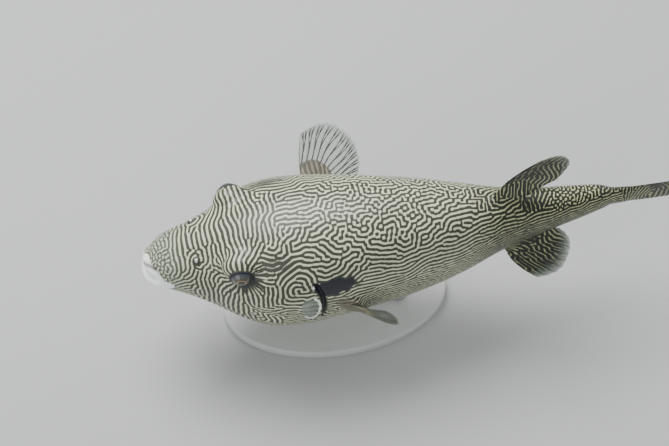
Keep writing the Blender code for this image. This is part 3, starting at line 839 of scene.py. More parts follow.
def wire(tree, kind, inputs=(), **settings):
    """A node with its settings; inputs are values or sockets, in order or by name."""
    node = tree.nodes.new(kind)
    for setting, value in settings.items():
        setattr(node, setting, value)
    for slot, value in (inputs.items() if isinstance(inputs, dict) else enumerate(inputs)):
        feed(tree, node.inputs[slot], value)
    return node


def maths(tree, operation, *values, clamp=False):
    return wire(tree, "ShaderNodeMath", values, operation=operation, use_clamp=clamp).outputs[0]


def blend_colours(tree, share, first, second):
    """Mixes two colours; share, first and second may be sockets."""
    first, second = ((*colour, 1.0) if isinstance(colour, tuple) else colour for colour in (first, second))
    return wire(tree, "ShaderNodeMix", {"Factor": share, 6: first, 7: second}, data_type="RGBA").outputs[2]


def attribute(tree, name):
    return wire(tree, "ShaderNodeAttribute", attribute_name=name).outputs["Fac"]


def object_place(tree, scale=None):
    where = wire(tree, "ShaderNodeTexCoord").outputs["Object"]
    return wire(tree, "ShaderNodeMapping", {"Vector": where, "Scale": scale}).outputs[0] if scale else where


def noise(tree, where, scale, detail):
    return wire(tree, "ShaderNodeTexNoise", {"Vector": where, "Scale": scale, "Detail": detail}).outputs[0]


def firm_edge(tree, share, low, high):
    """Draws the soft edge of a painted patch together."""
    ends = {"Value": share, "From Min": low, "From Max": high}
    return wire(tree, "ShaderNodeMapRange", ends, interpolation_type="SMOOTHSTEP").outputs[0]


def effect_group(name, outputs, **inputs):
    """A shader node group of plain numbers: the names of its outputs, and its inputs' usual values."""
    group = bpy.data.node_groups.new(name, "ShaderNodeTree")
    for label, value in inputs.items():
        group.interface.new_socket(label, in_out="INPUT", socket_type="NodeSocketFloat").default_value = value
    for label in outputs:
        group.interface.new_socket(label, in_out="OUTPUT", socket_type="NodeSocketFloat")
    return group, group.nodes.new("NodeGroupInput").outputs, group.nodes.new("NodeGroupOutput").inputs


def use_group(tree, group, **inputs):
    return wire(tree, "ShaderNodeGroup", inputs, node_tree=group).outputs


def dress(tree, shader, **values):
    """Feeds a shader's inputs by name, with _ for a space."""
    for label, value in values.items():
        feed(tree, shader[label.replace("_", " ")], value)


def new_finish(name, **constants):
    """A material with constants on its own shader; returns it, its tree and its shader's inputs."""
    finish = bpy.data.materials.new(name)
    finish.use_nodes = True
    tree = finish.node_tree
    shader = tree.nodes["Principled BSDF"].inputs
    dress(tree, shader, **constants)
    return finish, tree, shader


def add_bump(tree, shader, height, strength, distance):
    bump = wire(tree, "ShaderNodeBump", {"Strength": strength, "Distance": distance, "Height": height})
    dress(tree, shader, Normal=bump.outputs["Normal"])


# Painted lines: turns the line field into the share of pale paint, with slightly ragged edges.
painted_lines, given, made = effect_group(
    "painted_lines", ["Pale"], Field=0.0, Level=0.0, Softness=0.2, Raggedness=0.12
)
ragged = maths(painted_lines, "SUBTRACT", noise(painted_lines, object_place(painted_lines), 420.0, 2.0), 0.5)
ragged = maths(painted_lines, "MULTIPLY", ragged, given["Raggedness"])
field = maths(painted_lines, "ADD", given["Field"], ragged)
low = maths(painted_lines, "SUBTRACT", given["Level"], given["Softness"])
high = maths(painted_lines, "ADD", given["Level"], given["Softness"])
feed(painted_lines, made["Pale"], firm_edge(painted_lines, field, low, high))

# Moist grain: the fine prickly grain of the skin, and how its wetness varies.
moist_grain, given, made = effect_group(
    "moist_grain", ["Height", "Roughness", "Tone"], Grain=700.0, Roughness=0.42, Variation=0.16
)
where = object_place(moist_grain)
pimples = wire(moist_grain, "ShaderNodeTexVoronoi", {"Vector": where, "Scale": given["Grain"]})
pimples = maths(moist_grain, "SUBTRACT", 1.0, pimples.outputs["Distance"], clamp=True)
folds = noise(moist_grain, where, 160.0, 3.0)
feed(moist_grain, made["Height"], maths(moist_grain, "ADD", maths(moist_grain, "POWER", pimples, 3.0), folds))
tone = noise(moist_grain, where, 38.0, 2.0)
feed(moist_grain, made["Tone"], tone)
uneven = maths(moist_grain, "MULTIPLY", maths(moist_grain, "SUBTRACT", tone, 0.5), given["Variation"])
feed(moist_grain, made["Roughness"], maths(moist_grain, "ADD", given["Roughness"], uneven, clamp=True))

BODY_PAINT = ((0.042, 0.047, 0.033), (0.610, 0.635, 0.450))   # between the lines, and on them
PAINT_BY_TONE = {
    "snout_tone": ((0.100, 0.120, 0.085), (0.550, 0.590, 0.450)),
    "belly_tone": ((0.105, 0.110, 0.092), (0.640, 0.660, 0.570)),
    "tail_tone": ((0.012, 0.015, 0.010), (0.450, 0.465, 0.250)),
    "brown_base": ((0.088, 0.080, 0.062), (0.215, 0.200, 0.145)),
}
# The mouth's colour is its dark lining and painted shade, deep in the mouth and in the fold over the upper
# lip.
LIP_AND_GLINT_COLOUR, MOUTH_SHADE_COLOUR = (0.940, 0.965, 0.950), (0.060, 0.040, 0.038)
# The dark colour paints the gill blotch, and painted shade in the gill slits and round the eyes.
DARK_AND_SHADE_COLOUR, FLAP_COLOUR = (0.012, 0.014, 0.022), (0.185, 0.210, 0.190)
LINE_LEVEL = 0.15
LINE_EDGES = dict(Softness=0.22, Raggedness=0.16)

skin_finish, tree, shader = new_finish("moist_skin", Coat_Roughness=0.18, Coat_Weight=0.14, IOR=1.40)
grain = use_group(tree, moist_grain, Grain=760.0, Roughness=0.46, Variation=0.22)
dark_share, pale_share = attribute(tree, "dark_flesh_and_shade"), attribute(tree, "pale_flesh")
level = maths(tree, "MULTIPLY_ADD", attribute(tree, "tail_tone"), 0.22, LINE_LEVEL)
level = maths(tree, "MULTIPLY_ADD", dark_share, 1.1, level)
level = maths(tree, "SUBTRACT", level, maths(tree, "MULTIPLY", attribute(tree, "belly_tone"), 0.12))
lines = use_group(tree, painted_lines, Field=attribute(tree, "line_field"), Level=level, **LINE_EDGES)
dark, pale = BODY_PAINT
for name, (tone_dark, tone_pale) in PAINT_BY_TONE.items():
    tone = attribute(tree, name)
    dark, pale = blend_colours(tree, tone, dark, tone_dark), blend_colours(tree, tone, pale, tone_pale)
colour = blend_colours(tree, lines["Pale"], dark, pale)
flap_share = maths(tree, "MULTIPLY", attribute(tree, "flap_tone"), 0.86)
colour = blend_colours(tree, flap_share, colour, FLAP_COLOUR)
uneven_edge = maths(tree, "MULTIPLY_ADD", grain["Tone"], 0.24, -0.12)
# Painted on top: the white, which also lays a painted glint on each gill rim, and the dark, which also lays
# painted shade in the gill slits and round the eyes.
for share, low, high, paint in ((pale_share, 0.30, 0.62, LIP_AND_GLINT_COLOUR), (dark_share, 0.40, 0.85, DARK_AND_SHADE_COLOUR)):
    edge = firm_edge(tree, maths(tree, "ADD", share, uneven_edge), low, high)
    colour = blend_colours(tree, edge, colour, paint)
# Painted shade deep in the mouth and in the fold over the upper lip.
colour = blend_colours(tree, attribute(tree, "mouth_and_fold_shade"), colour, MOUTH_SHADE_COLOUR)
shade = maths(tree, "ADD", maths(tree, "MULTIPLY", grain["Tone"], 0.5), 0.75)
shaded = wire(tree, "ShaderNodeVectorMath", {0: colour, "Scale": shade}, operation="SCALE").outputs[0]
dress(tree, shader, Base_Color=shaded, Roughness=grain["Roughness"])
add_bump(tree, shader, grain["Height"], 0.35, 0.0004)
skin_mesh.materials.append(skin_finish)

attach(skin, "root")
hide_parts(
    "head", "trunk", "tail_stalk", "upper_lip", "lower_lip", "gill_cover_left", "gill_cover_right",
    "nasal_flap_left", "nasal_flap_right",
)

# ---------------------------------------------------------------------------------------------------
# Prickles. Short horny spines that lean backwards, sparse on the back and flanks and missing on the
# snout, the gill covers' edges, the tail stalk and the fins. Cast with the skin and rubbed paler.
# ---------------------------------------------------------------------------------------------------
PRICKLE_SPACING, PRICKLE_HEIGHT, PRICKLE_WIDTH, PRICKLE_LEAN = 0.0029, 0.0008, 0.00021, 0.7
PRICKLES_MOST, PRICKLE_SIZES = 2.0e5, (0.65, 1.25)

prickle_finish, tree, shader = new_finish("prickle_horn", Roughness=0.40, IOR=1.50)
lines = use_group(tree, painted_lines, Field=attribute(tree, "line_field"), Level=LINE_LEVEL, **LINE_EDGES)
tuft = blend_colours(tree, lines["Pale"], (0.075, 0.082, 0.062), (0.580, 0.600, 0.460))
dress(tree, shader, Base_Color=tuft)


def new_node_tree(name, output, **inputs):
    """An empty Geometry Nodes tree; returns it, its inputs' identifiers and its two ends."""
    tree = bpy.data.node_groups.new(name, "GeometryNodeTree")
    identifiers = {
        label: tree.interface.new_socket(label, in_out="INPUT", socket_type="NodeSocket" + kind).identifier
        for label, kind in inputs.items()
    }
    tree.interface.new_socket(output, in_out="OUTPUT", socket_type="NodeSocketGeometry")
    given, made = tree.nodes.new("NodeGroupInput").outputs, tree.nodes.new("NodeGroupOutput").inputs
    return tree, identifiers, given, made


def named_value(tree, name):
    return wire(tree, "GeometryNodeInputNamedAttribute", {"Name": name}, data_type="FLOAT").outputs[0]


def real_mesh(tree, instances):
    return wire(tree, "GeometryNodeRealizeInstances", {0: instances}).outputs[0]


def finish_tree(tree, made, geometry, finish):
    finished = wire(tree, "GeometryNodeSetMaterial", {"Geometry": geometry, "Material": finish}).outputs[0]
    feed(tree, made[0], finished)


def run_nodes(piece, tree, identifiers, **values):
    """Runs a Geometry Nodes tree on a piece and keeps the result as its mesh."""
    modifier = piece.modifiers.new(tree.name, "NODES")
    modifier.node_group = tree
    for label, value in values.items():
        modifier[identifiers[label]] = value
    baked(piece)


def prickle_tree():
    """Sets leaning cones on a skin. Inputs: spacing, height, width, how far they lean, seed, finish."""
    tree, identifiers, given, made = new_node_tree(
        "prickles", "Prickles", Skin="Geometry", Spacing="Float", Height="Float", Width="Float", Lean="Float",
        Seed="Int", Finish="Material",
    )
    spots = wire(tree, "GeometryNodeDistributePointsOnFaces", {
        "Mesh": given["Skin"], "Distance Min": given["Spacing"], "Density Max": PRICKLES_MOST,
        "Density Factor": named_value(tree, "prickle_room"), "Seed": given["Seed"],
    }, distribute_method="POISSON").outputs
    backwards = wire(tree, "ShaderNodeCombineXYZ", {"X": given["Lean"]}).outputs[0]
    leaning = wire(tree, "ShaderNodeVectorMath", (spots["Normal"], backwards), operation="ADD").outputs[0]
    turned = wire(tree, "FunctionNodeAlignRotationToVector", {"Vector": leaning}, axis="Z").outputs[0]
    ends = {2: PRICKLE_SIZES[0], 3: PRICKLE_SIZES[1], "Seed": given["Seed"]}
    size = wire(tree, "FunctionNodeRandomValue", ends, data_type="FLOAT").outputs[1]
    cone = wire(tree, "GeometryNodeMeshCone", {
        "Vertices": 4, "Radius Top": 0.0, "Radius Bottom": given["Width"], "Depth": given["Height"],
    }).outputs["Mesh"]
    set_in = wire(tree, "GeometryNodeInstanceOnPoints", {
        "Points": spots["Points"], "Instance": cone, "Rotation": turned, "Scale": size,
    }).outputs[0]
    finish_tree(tree, made, real_mesh(tree, set_in), given["Finish"])
    return tree, identifiers


room = smooth_step(0.105, 0.150, at) * smooth_fall(0.70, 0.80, at) * (1 - np.clip(pad_part * 2, 0, 1))
room *= (dark_flesh_and_shade < 0.35) * (pale_flesh < 0.1) * (gill_rim < 0.1)
for centre in EYE_CENTRES.values():
    room *= smooth_step(0.0150, 0.0210, np.linalg.norm(points - centre, axis=1))
prickle_mesh = skin_mesh.copy()
prickle_mesh.name = "prickles"
store(prickle_mesh, "prickle_room", room * smooth_step(-1.6, 0.2, drift(points, 0.060, 51)))
prickles = new_piece("prickles", prickle_mesh, prickle_finish)
run_nodes(
    prickles, *prickle_tree(), Spacing=PRICKLE_SPACING, Height=PRICKLE_HEIGHT, Width=PRICKLE_WIDTH,
    Lean=PRICKLE_LEAN, Seed=7, Finish=prickle_finish,
)
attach(prickles, "root")

# ---------------------------------------------------------------------------------------------------
# Fins. Thin skins over branched soft rays, cast in tinted resin, with the body's lines painted on and
# a clear margin. Each skin is let into the fleshy base, and the rays stand out on both its faces.
# ---------------------------------------------------------------------------------------------------
MEMBRANE_START = 0.24   # the fin's skin starts here, inside the fleshy base
MEMBRANE_ROOT, MEMBRANE_EDGE = 0.0017, 0.0005
FURL, RAY_RIDGE = 0.0006, 0.0002   # how far the fin's skin lies off its middle surface
RAY_ROOT, RAY_TIP, RAY_END = 0.00070, 0.00018, 0.966
RAY_BUILD = {"body": (0.85, 0.03), "spread": (1.30, 0.13), "folded": (0.80, 0.10)}   # thickness, waviness
STEM_POINTS, BRANCH_POINTS = 44, 24
BRANCHES = (  # where a stem or branch starts, and to which side its first and its second fork turn
    (MEMBRANE_START + 0.06, -1, -1), (0.60, 1, 1), (0.80, -1, 1), (0.80, 1, -1),
)


def fin_line_field(fin, look, face, seed):
    """The lines on one face of a fin, going on from those on its base; a lookup by across and along."""
    _, along, middle = fin_grid(fin)
    swell = np.maximum((1 - along) ** FLESH_TAPER * fin["root_thick"] * STANDARD_LENGTH, 0.0012) / 2
    outside = (middle + face * sheet_normals(middle) * swell[..., None]).reshape(-1, 3)
    held = np.flatnonzero(along.ravel() < FLESH_END - 0.03)
    on_skin = np.array([skin_finder.find(outside[index])[1] for index in held])
    quads = np.array(grid_faces(FIN_ROWS, FIN_COLUMNS, wrap=False))
    ones = np.ones(FIN_ROWS * FIN_COLUMNS)
    field = grow_lines(
        middle.reshape(-1, 3), np.concatenate((quads[:, (0, 1, 2)], quads[:, (0, 2, 3)])),
        fin_line_direction(middle, look["turned"], seed).reshape(-1, 3), ones * look["pull"],
        ones * look["pitch"], ones * 0.12, seed, time=22.0, stiffest=11.0,
        held=(held, line_field[on_skin]),
    ).reshape(FIN_ROWS, FIN_COLUMNS)

    def lookup(across, along):
        u = np.clip(across, 0, 1) * (FIN_ROWS - 1)
        v = np.clip((along - GRID_START) / (1 - GRID_START), 0, 1) * (FIN_COLUMNS - 1)
        i, j = np.minimum(u.astype(int), FIN_ROWS - 2), np.minimum(v.astype(int), FIN_COLUMNS - 2)
        u, v = u - i, v - j
        return (
            field[i, j] * (1 - u) * (1 - v) + field[i + 1, j] * u * (1 - v)
            + field[i, j + 1] * (1 - u) * v + field[i + 1, j + 1] * u * v
        )

    return lookup


def dressed_points(fin, across, along, rays):
    """Points of a fin's skin, which furls a little off the middle surface between the rays."""
    middle = fin_points(fin, across, along)
    share = np.clip((along - 0.4) / 0.6, 0, 1)
    furl = FURL * np.sin(7.5 * across + 4.0 * along) + RAY_RIDGE * np.cos(2 * np.pi * rays * across)
    return middle + sheet_normals(middle) * (share**1.5 * furl)[..., None]


def fin_membrane(name, fin, rays, lookups, clear_from):
    across, along = np.meshgrid(np.linspace(0, 1, rays * 7 + 1), np.linspace(0, 1, 64), indexing="ij")
    ray_gap = np.abs(np.sin(np.pi * rays * across))
    margin = 0.992 - 0.012 * ray_gap - 0.03 * np.abs(2 * across - 1) ** 8
    along = MEMBRANE_START + (margin - MEMBRANE_START) * along
    tucked_in = 0.93 + 0.07 * smooth_step(MEMBRANE_START, FLESH_END + 0.04, along)
    middle = dressed_points(fin, 0.5 + (across - 0.5) * tucked_in, along, rays)
    share = (along - MEMBRANE_START) / (1 - MEMBRANE_START)
    half = (MEMBRANE_EDGE + (MEMBRANE_ROOT - MEMBRANE_EDGE) * (1 - share) ** 1.6) / 2
    off = sheet_normals(middle) * half[..., None]
    mesh = solid_mesh(name, *closed_loft(np.concatenate((middle + off, (middle - off)[:, ::-1]), axis=1)))
    clear = smooth_step(clear_from - 0.16, clear_from + 0.10, along + 0.05 * ray_gap)
    for attribute_name, (front, back) in (
        ("line_field", [lookup(across, along) for lookup in lookups]), ("clear", (clear, clear)),
        ("fin_share", (along, along)),
    ):
        rings = np.concatenate((front, back[:, ::-1]), axis=1)
        ends = (rings[0].mean(), rings[-1].mean())
        store(mesh, attribute_name, np.concatenate((rings.ravel(), ends)))
    return mesh


def ray_tree():
    """Turns guide lines into tapered rays. Inputs: the guides, thickness, how many sides, the finish."""
    tree, identifiers, given, made = new_node_tree(
        "fin_rays", "Rays", Guides="Geometry", Thickness="Float", Sides="Int", Finish="Material"
    )
    radius = maths(tree, "MULTIPLY", named_value(tree, "ray_size"), given["Thickness"])
    curves = wire(tree, "GeometryNodeMeshToCurve", {0: given["Guides"]}).outputs[0]
    sized = wire(tree, "GeometryNodeSetCurveRadius", {"Curve": curves, "Radius": radius}).outputs[0]
    ring = wire(tree, "GeometryNodeCurvePrimitiveCircle", {"Resolution": given["Sides"], "Radius": 1.0})
    tube = wire(tree, "GeometryNodeCurveToMesh", {
        "Curve": sized, "Profile Curve": ring.outputs[0], "Fill Caps": True, "Scale": radius,
    }).outputs[0]
    smooth = wire(tree, "GeometryNodeSetShadeSmooth", {0: tube}).outputs[0]
    finish_tree(tree, made, real_mesh(tree, smooth), given["Finish"])
    return tree, identifiers


def ray_guide(fin, across, along, rays):
    """Points of one ray, on the same furled surface as the fin's skin."""
    strip = across[None, :] + np.array((-0.004, 0.0, 0.004))[:, None]
    return dressed_points(fin, strip, np.broadcast_to(along, strip.shape), rays)[1]


def fin_rays(name, fin, rays, lookup, finish, thickness, waviness):
    """Branched rays: each stem forks twice on its way out."""
    points, edges, sizes, fields, shares = [], [], [], [], []
    for ray in range(rays):
        centre = 0.02 + 0.96 * (ray + 0.5) / rays
        for start, fork, twig in BRANCHES:
            stem = start < 0.5
            along = np.linspace(start, RAY_END, STEM_POINTS if stem else BRANCH_POINTS)
            spread = fork * 0.23 * smooth_step(0.58, 1.0, along) + twig * 0.10 * smooth_step(0.78, 1.0, along)
            wavy = waviness * np.sin(11.0 * along + 0.9 * ray) * smooth_step(0.35, 0.60, along)
            across = centre + (spread + wavy) / rays
            first = sum(len(group) for group in points)
            edges += [(first + k, first + k + 1) for k in range(len(along) - 1)]
            points.append(ray_guide(fin, across, along, rays))
            thin = RAY_TIP + (RAY_ROOT - RAY_TIP) * (1 - (along - start) / (1 - start)) ** 0.8
            leaving = 0.25 + 0.75 * smooth_step(start, start + 0.08, along)   # a branch leaves its stem thin
            sizes.append(thin if stem else thin * 0.8 * leaving)
            fields.append(lookup(across, along))
            shares.append(along)
    mesh = bpy.data.meshes.new(name)
    mesh.from_pydata(np.concatenate(points).tolist(), edges, [])
    for attribute_name, values in (("ray_size", sizes), ("line_field", fields), ("fin_share", shares)):
        store(mesh, attribute_name, np.concatenate(values))
    piece = new_piece(name, mesh, finish)
    run_nodes(piece, *rays_tree, Thickness=thickness, Sides=6, Finish=finish)
    return piece


FIN_PAINT, FIN_CLEAR = ((0.010, 0.014, 0.010), (0.350, 0.355, 0.190)), (0.330, 0.390, 0.340)
FIN_RAY_PAINT = ((0.016, 0.019, 0.014), (0.300, 0.310, 0.180))
PECTORAL_PAINT = ((0.050, 0.034, 0.018), (0.420, 0.350, 0.160))
PECTORAL_RAY_PAINT = ((0.300, 0.270, 0.120), (0.520, 0.480, 0.240))


def fin_finish(name, paint, line_level, clear_alpha=None, tips=None):
    """The finish of a fin's skin or, without clear_alpha, of its rays; tips are a colour and its ends."""
    finish, tree, shader = new_finish(name, Coat_Roughness=0.2, Coat_Weight=0.2, IOR=1.40)
    grain = use_group(tree, moist_grain, Grain=900.0, Roughness=0.40, Variation=0.20)
    field = attribute(tree, "line_field")
    lines = use_group(tree, painted_lines, Field=field, Level=line_level, Softness=0.20, Raggedness=0.20)
    colour = blend_colours(tree, lines["Pale"], *paint)
    if tips:
        tip_colour, tips_from, tips_to = tips
        tip_share = firm_edge(tree, attribute(tree, "fin_share"), tips_from, tips_to)
        colour = blend_colours(tree, tip_share, colour, tip_colour)
    if clear_alpha is not None:
        clear = attribute(tree, "clear")
        colour = blend_colours(tree, maths(tree, "MULTIPLY", clear, 0.8), colour, FIN_CLEAR)
        less = maths(tree, "MULTIPLY", clear, 1 - clear_alpha)
        dress(tree, shader, Alpha=maths(tree, "SUBTRACT", 1.0, less))
    dress(tree, shader, Base_Color=colour, Roughness=grain["Roughness"])
    add_bump(tree, shader, grain["Height"], 0.25, 0.0002)
    return finish


fin_finishes = {  # the skin's and the rays' finish
    "body": (
        fin_finish("fin_skin", FIN_PAINT, 0.33, clear_alpha=0.36),
        fin_finish("fin_ray", FIN_RAY_PAINT, 0.28, tips=((0.150, 0.175, 0.150), 0.84, 1.00)),
    ),
    "spread": (
        fin_finish("pectoral_skin", PECTORAL_PAINT, 0.10, clear_alpha=0.30),
        fin_finish("pectoral_ray", PECTORAL_RAY_PAINT, 0.0, tips=((0.012, 0.014, 0.011), 0.34, 0.50)),
    ),
    "folded": (
        fin_finish("folded_skin", PECTORAL_PAINT, 0.10, clear_alpha=0.20),
        fin_finish("folded_ray", PECTORAL_RAY_PAINT, 0.0, tips=((0.085, 0.092, 0.068), 0.40, 0.70)),
    ),
}
FIN_KINDS = dict(zip(PECTORALS, ("folded", "spread")))   # the others are of the body's kind
rays_tree = ray_tree()
skin_finder = finder_of(points)
for number, (fin_name, fin) in enumerate(FINS.items()):
    look, kind = FIN_LOOKS[fin_name], FIN_KINDS.get(fin_name, "body")
    lookups = [fin_line_field(fin, look, face, seed=FIN_SEED + number) for face in (1, -1)]
    skin_look, ray_look = fin_finishes[kind]
    fin_mesh = fin_membrane(fin_name + "_skin", fin, look["rays"], lookups, look["clear_from"])
    membrane = new_piece(fin_name + "_skin", fin_mesh, skin_look)
    stems = fin_rays(fin_name + "_rays", fin, look["rays"], lookups[0], ray_look, *RAY_BUILD[kind])
    for piece in (membrane, stems):
        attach(piece, "root")
    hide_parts(fin_name)

# ---------------------------------------------------------------------------------------------------
# Eyes. Glass eyes as a taxidermist sets them: a ball painted with a gold ring round a deep
# pupil and lacquered clear, let into the head so that the lids close on them.
# ---------------------------------------------------------------------------------------------------
PUPIL_ANGLE, RING_ANGLE, IRIS_ANGLE = 0.38, 0.45, 0.84
EYE_AROUND, EYE_INSET = 72, 0.0001


def turned_ball(centre, axis, polar, radius):
    """Rings of a ball round an axis, from angles off the axis, and the directions round it."""
    first = unit(np.cross(axis, UP))
    second = np.cross(axis, first)
    turn = full_turn(EYE_AROUND)
    flat = np.cos(turn)[None, :, None] * first + np.sin(turn)[None, :, None] * second
    ahead, aside = (radius * np.cos(polar))[:, None, None], (radius * np.sin(polar))[:, None, None]
    return centre + ahead * axis + aside * flat, np.stack((np.cos(turn), np.sin(turn)), axis=-1)


eye_finish, tree, shader = new_finish(
    "glass_eye", Roughness=0.30, IOR=1.45, Coat_Weight=1.0, Coat_Roughness=0.02, Coat_IOR=1.52
)
polar = attribute(tree, "eye_angle")
plane = wire(tree, "ShaderNodeAttribute", attribute_name="iris_plane").outputs["Vector"]
streaks, specks = noise(tree, plane, 7.0, 4.0), noise(tree, object_place(tree), 900.0, 2.0)
iris = blend_colours(tree, firm_edge(tree, streaks, 0.40, 0.66), (0.014, 0.020, 0.026), (0.115, 0.105, 0.055))
in_ring = firm_edge(tree, polar, RING_ANGLE - 0.04, RING_ANGLE + 0.02)
iris = blend_colours(tree, in_ring, (0.420, 0.290, 0.080), iris)
off_pupil = firm_edge(tree, polar, PUPIL_ANGLE - 0.015, PUPIL_ANGLE + 0.015)
colour = blend_colours(tree, off_pupil, (0.002, 0.002, 0.003), iris)
white = blend_colours(tree, specks, (0.010, 0.014, 0.024), (0.050, 0.060, 0.075))
off_iris = firm_edge(tree, polar, IRIS_ANGLE - 0.10, IRIS_ANGLE + 0.06)
dress(tree, shader, Base_Color=blend_colours(tree, off_iris, colour, white))

angles = np.concatenate((np.linspace(0.03, 0.95, 40), np.linspace(1.0, 3.1, 24)))
for side, word in SIDES:
    rings, plane = turned_ball(EYE_CENTRES[side], EYE_TURNED[side], angles, EYE_RADIUS - EYE_INSET)
    ball_mesh = solid_mesh("eyeball_" + word, *closed_loft(rings))
    store(ball_mesh, "eye_angle", np.concatenate((np.repeat(angles, EYE_AROUND), (0.0, math.pi))))
    outwards = np.minimum(angles, 1.2)[:, None, None] * 0.25
    round_iris = (plane[None] * (1.0 + outwards), outwards * np.ones((1, EYE_AROUND, 1)))
    round_iris = np.concatenate((np.concatenate(round_iris, axis=-1).reshape(-1, 3), np.zeros((2, 3))))
    ball_mesh.attributes.new("iris_plane", "FLOAT_VECTOR", "POINT").data.foreach_set(
        "vector", round_iris.astype(np.float32).ravel()
    )
    ball = new_piece("eyeball_" + word, ball_mesh, eye_finish)
    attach(ball, "root")
    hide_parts("eye_" + word)

# ---------------------------------------------------------------------------------------------------
# Beak. Two pairs of fused teeth with a seam in the middle, cast in ivory resin and set in the mouth
# behind the lips, with a narrow dark gap between the upper and the lower pair.
# ---------------------------------------------------------------------------------------------------
BEAK_AT, BEAK_RADII, BEAK_GAP = 0.0530, (0.0350, 0.0330, 0.0180), 0.0016
SEAM_WIDTH, SEAM_DEPTH = 0.0007, 0.0016   # the width in metres, the depth as a share of the length

beak_finish, tree, shader = new_finish("tooth_ivory", Coat_Roughness=0.08, Coat_Weight=0.5, IOR=1.5)
bands = noise(tree, object_place(tree, (1.0, 1.0, 0.2)), 500.0, 3.0)
ivory = blend_colours(tree, bands, (0.620, 0.560, 0.420), (0.830, 0.810, 0.720))
dress(tree, shader, Base_Color=ivory, Roughness=maths(tree, "MULTIPLY", bands, 0.45))
add_bump(tree, shader, bands, 0.2, 0.0002)

for sign, word in ((1, "upper"), (-1, "lower")):
    level, turn = np.meshgrid(np.linspace(0, 1, 26) ** 0.8, full_turn(120), indexing="ij")
    shrink = np.cos(level * np.pi / 2 * 0.98)
    x = -np.cos(turn) * shrink * BEAK_RADII[0]
    y = np.sin(turn) * shrink * BEAK_RADII[1]
    z = sign * (BEAK_GAP / 2 / STANDARD_LENGTH + np.sin(level * np.pi / 2) * BEAK_RADII[2])
    seam = bell(y * STANDARD_LENGTH / SEAM_WIDTH) * (x < 0)
    x = x + seam * SEAM_DEPTH * shrink
    rings = place(BEAK_AT + x, y, MOUTH_HEIGHT + z)
    beak_mesh = solid_mesh(word + "_teeth", *closed_loft(rings), sharp_from=50)
    beak = new_piece(word + "_teeth", beak_mesh, beak_finish)
    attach(beak, "root")
    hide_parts(word + "_beak")

# ---------------------------------------------------------------------------------------------------
# Stand. An oval steel plate with a rounded edge, powder coated, and two brushed steel rods that stand
# in turned collars, each held by small cap screws, and end in the belly.
# ---------------------------------------------------------------------------------------------------
PLATE_EDGE, PLATE_AROUND = 0.0030, 128
ROD_EDGE, ROD_LET_IN, COLLAR_EDGE = 0.0004, 0.003, 0.0009

paint_finish, tree, shader = new_finish("powder_coat", Coat_Roughness=0.3)
orange_peel, cloud = noise(tree, object_place(tree), 900.0, 2.0), noise(tree, object_place(tree), 14.0, 3.0)
coat = blend_colours(tree, cloud, (0.500, 0.515, 0.510), (0.560, 0.570, 0.560))
dress(tree, shader, Base_Color=coat, Roughness=maths(tree, "MULTIPLY_ADD", orange_peel, 0.15, 0.40))
add_bump(tree, shader, orange_peel, 0.15, 0.0002)

steel_finish, tree, shader = new_finish("brushed_steel", Metallic=1.0, Anisotropic=0.4)
scratches = noise(tree, object_place(tree, (1.0, 1.0, 14.0)), 420.0, 3.0)
steel = blend_colours(tree, scratches, (0.430, 0.435, 0.440), (0.640, 0.645, 0.650))
dress(tree, shader, Base_Color=steel, Roughness=maths(tree, "MULTIPLY_ADD", scratches, 0.25, 0.20))
add_bump(tree, shader, scratches, 0.2, 0.0001)


def level_ring(turn, reach_x, reach_y, level, centre=(0.0, 0.0)):
    x, y = centre[0] + reach_x * np.cos(turn), centre[1] + reach_y * np.sin(turn)
    return np.stack((x, y, np.full(len(turn), level)), axis=-1)


def turned_on_lathe(name, centre, outline, finish, segments):
    """A closed turned part: outline is (distance from the axis, height) from the bottom to the top."""
    turn = full_turn(segments)
    rings = np.array([level_ring(turn, reach, reach, level, centre) for reach, level in outline])
    return new_piece(name, solid_mesh(name, *closed_loft(rings), sharp_from=35), finish)


def rounded(reach, low, high, edge, steps=6):
    """The outline of a disc with rounded edges."""
    turn = np.linspace(0, np.pi / 2, steps)
    bottom = [(reach - edge + edge * math.sin(t), low + edge - edge * math.cos(t)) for t in turn]
    top = [(reach - edge + edge * math.cos(t), high - edge + edge * math.sin(t)) for t in turn]
    return [(reach * 0.05, low), (reach * 0.6, low), *bottom, *top, (reach * 0.6, high), (reach * 0.05, high)]


plate_low, plate_high = corners(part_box("stand_base"))
half_length, half_width = (plate_high[0] - plate_low[0]) / 2, (plate_high[1] - plate_low[1]) / 2
plate_rings = []
for reach, level in rounded(half_width, 0.0, plate_high[2], PLATE_EDGE):
    near_edge = reach > half_width * 0.5   # there the rings keep their distance, further in their shape
    reach_x = half_length - half_width + reach if near_edge else half_length * reach / half_width
    plate_rings.append(level_ring(full_turn(PLATE_AROUND), reach_x, reach, level))
plate_mesh = solid_mesh("stand_plate", *closed_loft(np.array(plate_rings)), sharp_from=50)
plate = new_piece("stand_plate", plate_mesh, paint_finish)
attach(plate, "root")
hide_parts("stand_base")

for word in ("front", "rear"):
    rod_low, rod_high = corners(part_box("stand_rod_" + word))
    collar_low, collar_high = corners(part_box("stand_collar_" + word))
    foot = (rod_low + rod_high) / 2
    rod_radius, collar_radius = (rod_high[0] - rod_low[0]) / 2, (collar_high[0] - collar_low[0]) / 2
    rod_outline = rounded(rod_radius, rod_low[2], rod_high[2] + ROD_LET_IN, ROD_EDGE, steps=3)
    rod = turned_on_lathe("rod_" + word, foot, rod_outline, steel_finish, 48)
    collar_outline = rounded(collar_radius, collar_low[2], collar_high[2], COLLAR_EDGE)
    collar = turned_on_lathe("collar_" + word, foot, collar_outline, steel_finish, 72)
    for piece, node in ((rod, "stand_rod_" + word), (collar, "stand_collar_" + word)):
        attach(piece, "root")
        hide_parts(node)

SCREW_COUNT, SCREW_RING, SCREW_HEAD, SCREW_RISE, HEX_SOCKET = 3, 0.0066, 0.00150, 0.0011, 0.00080


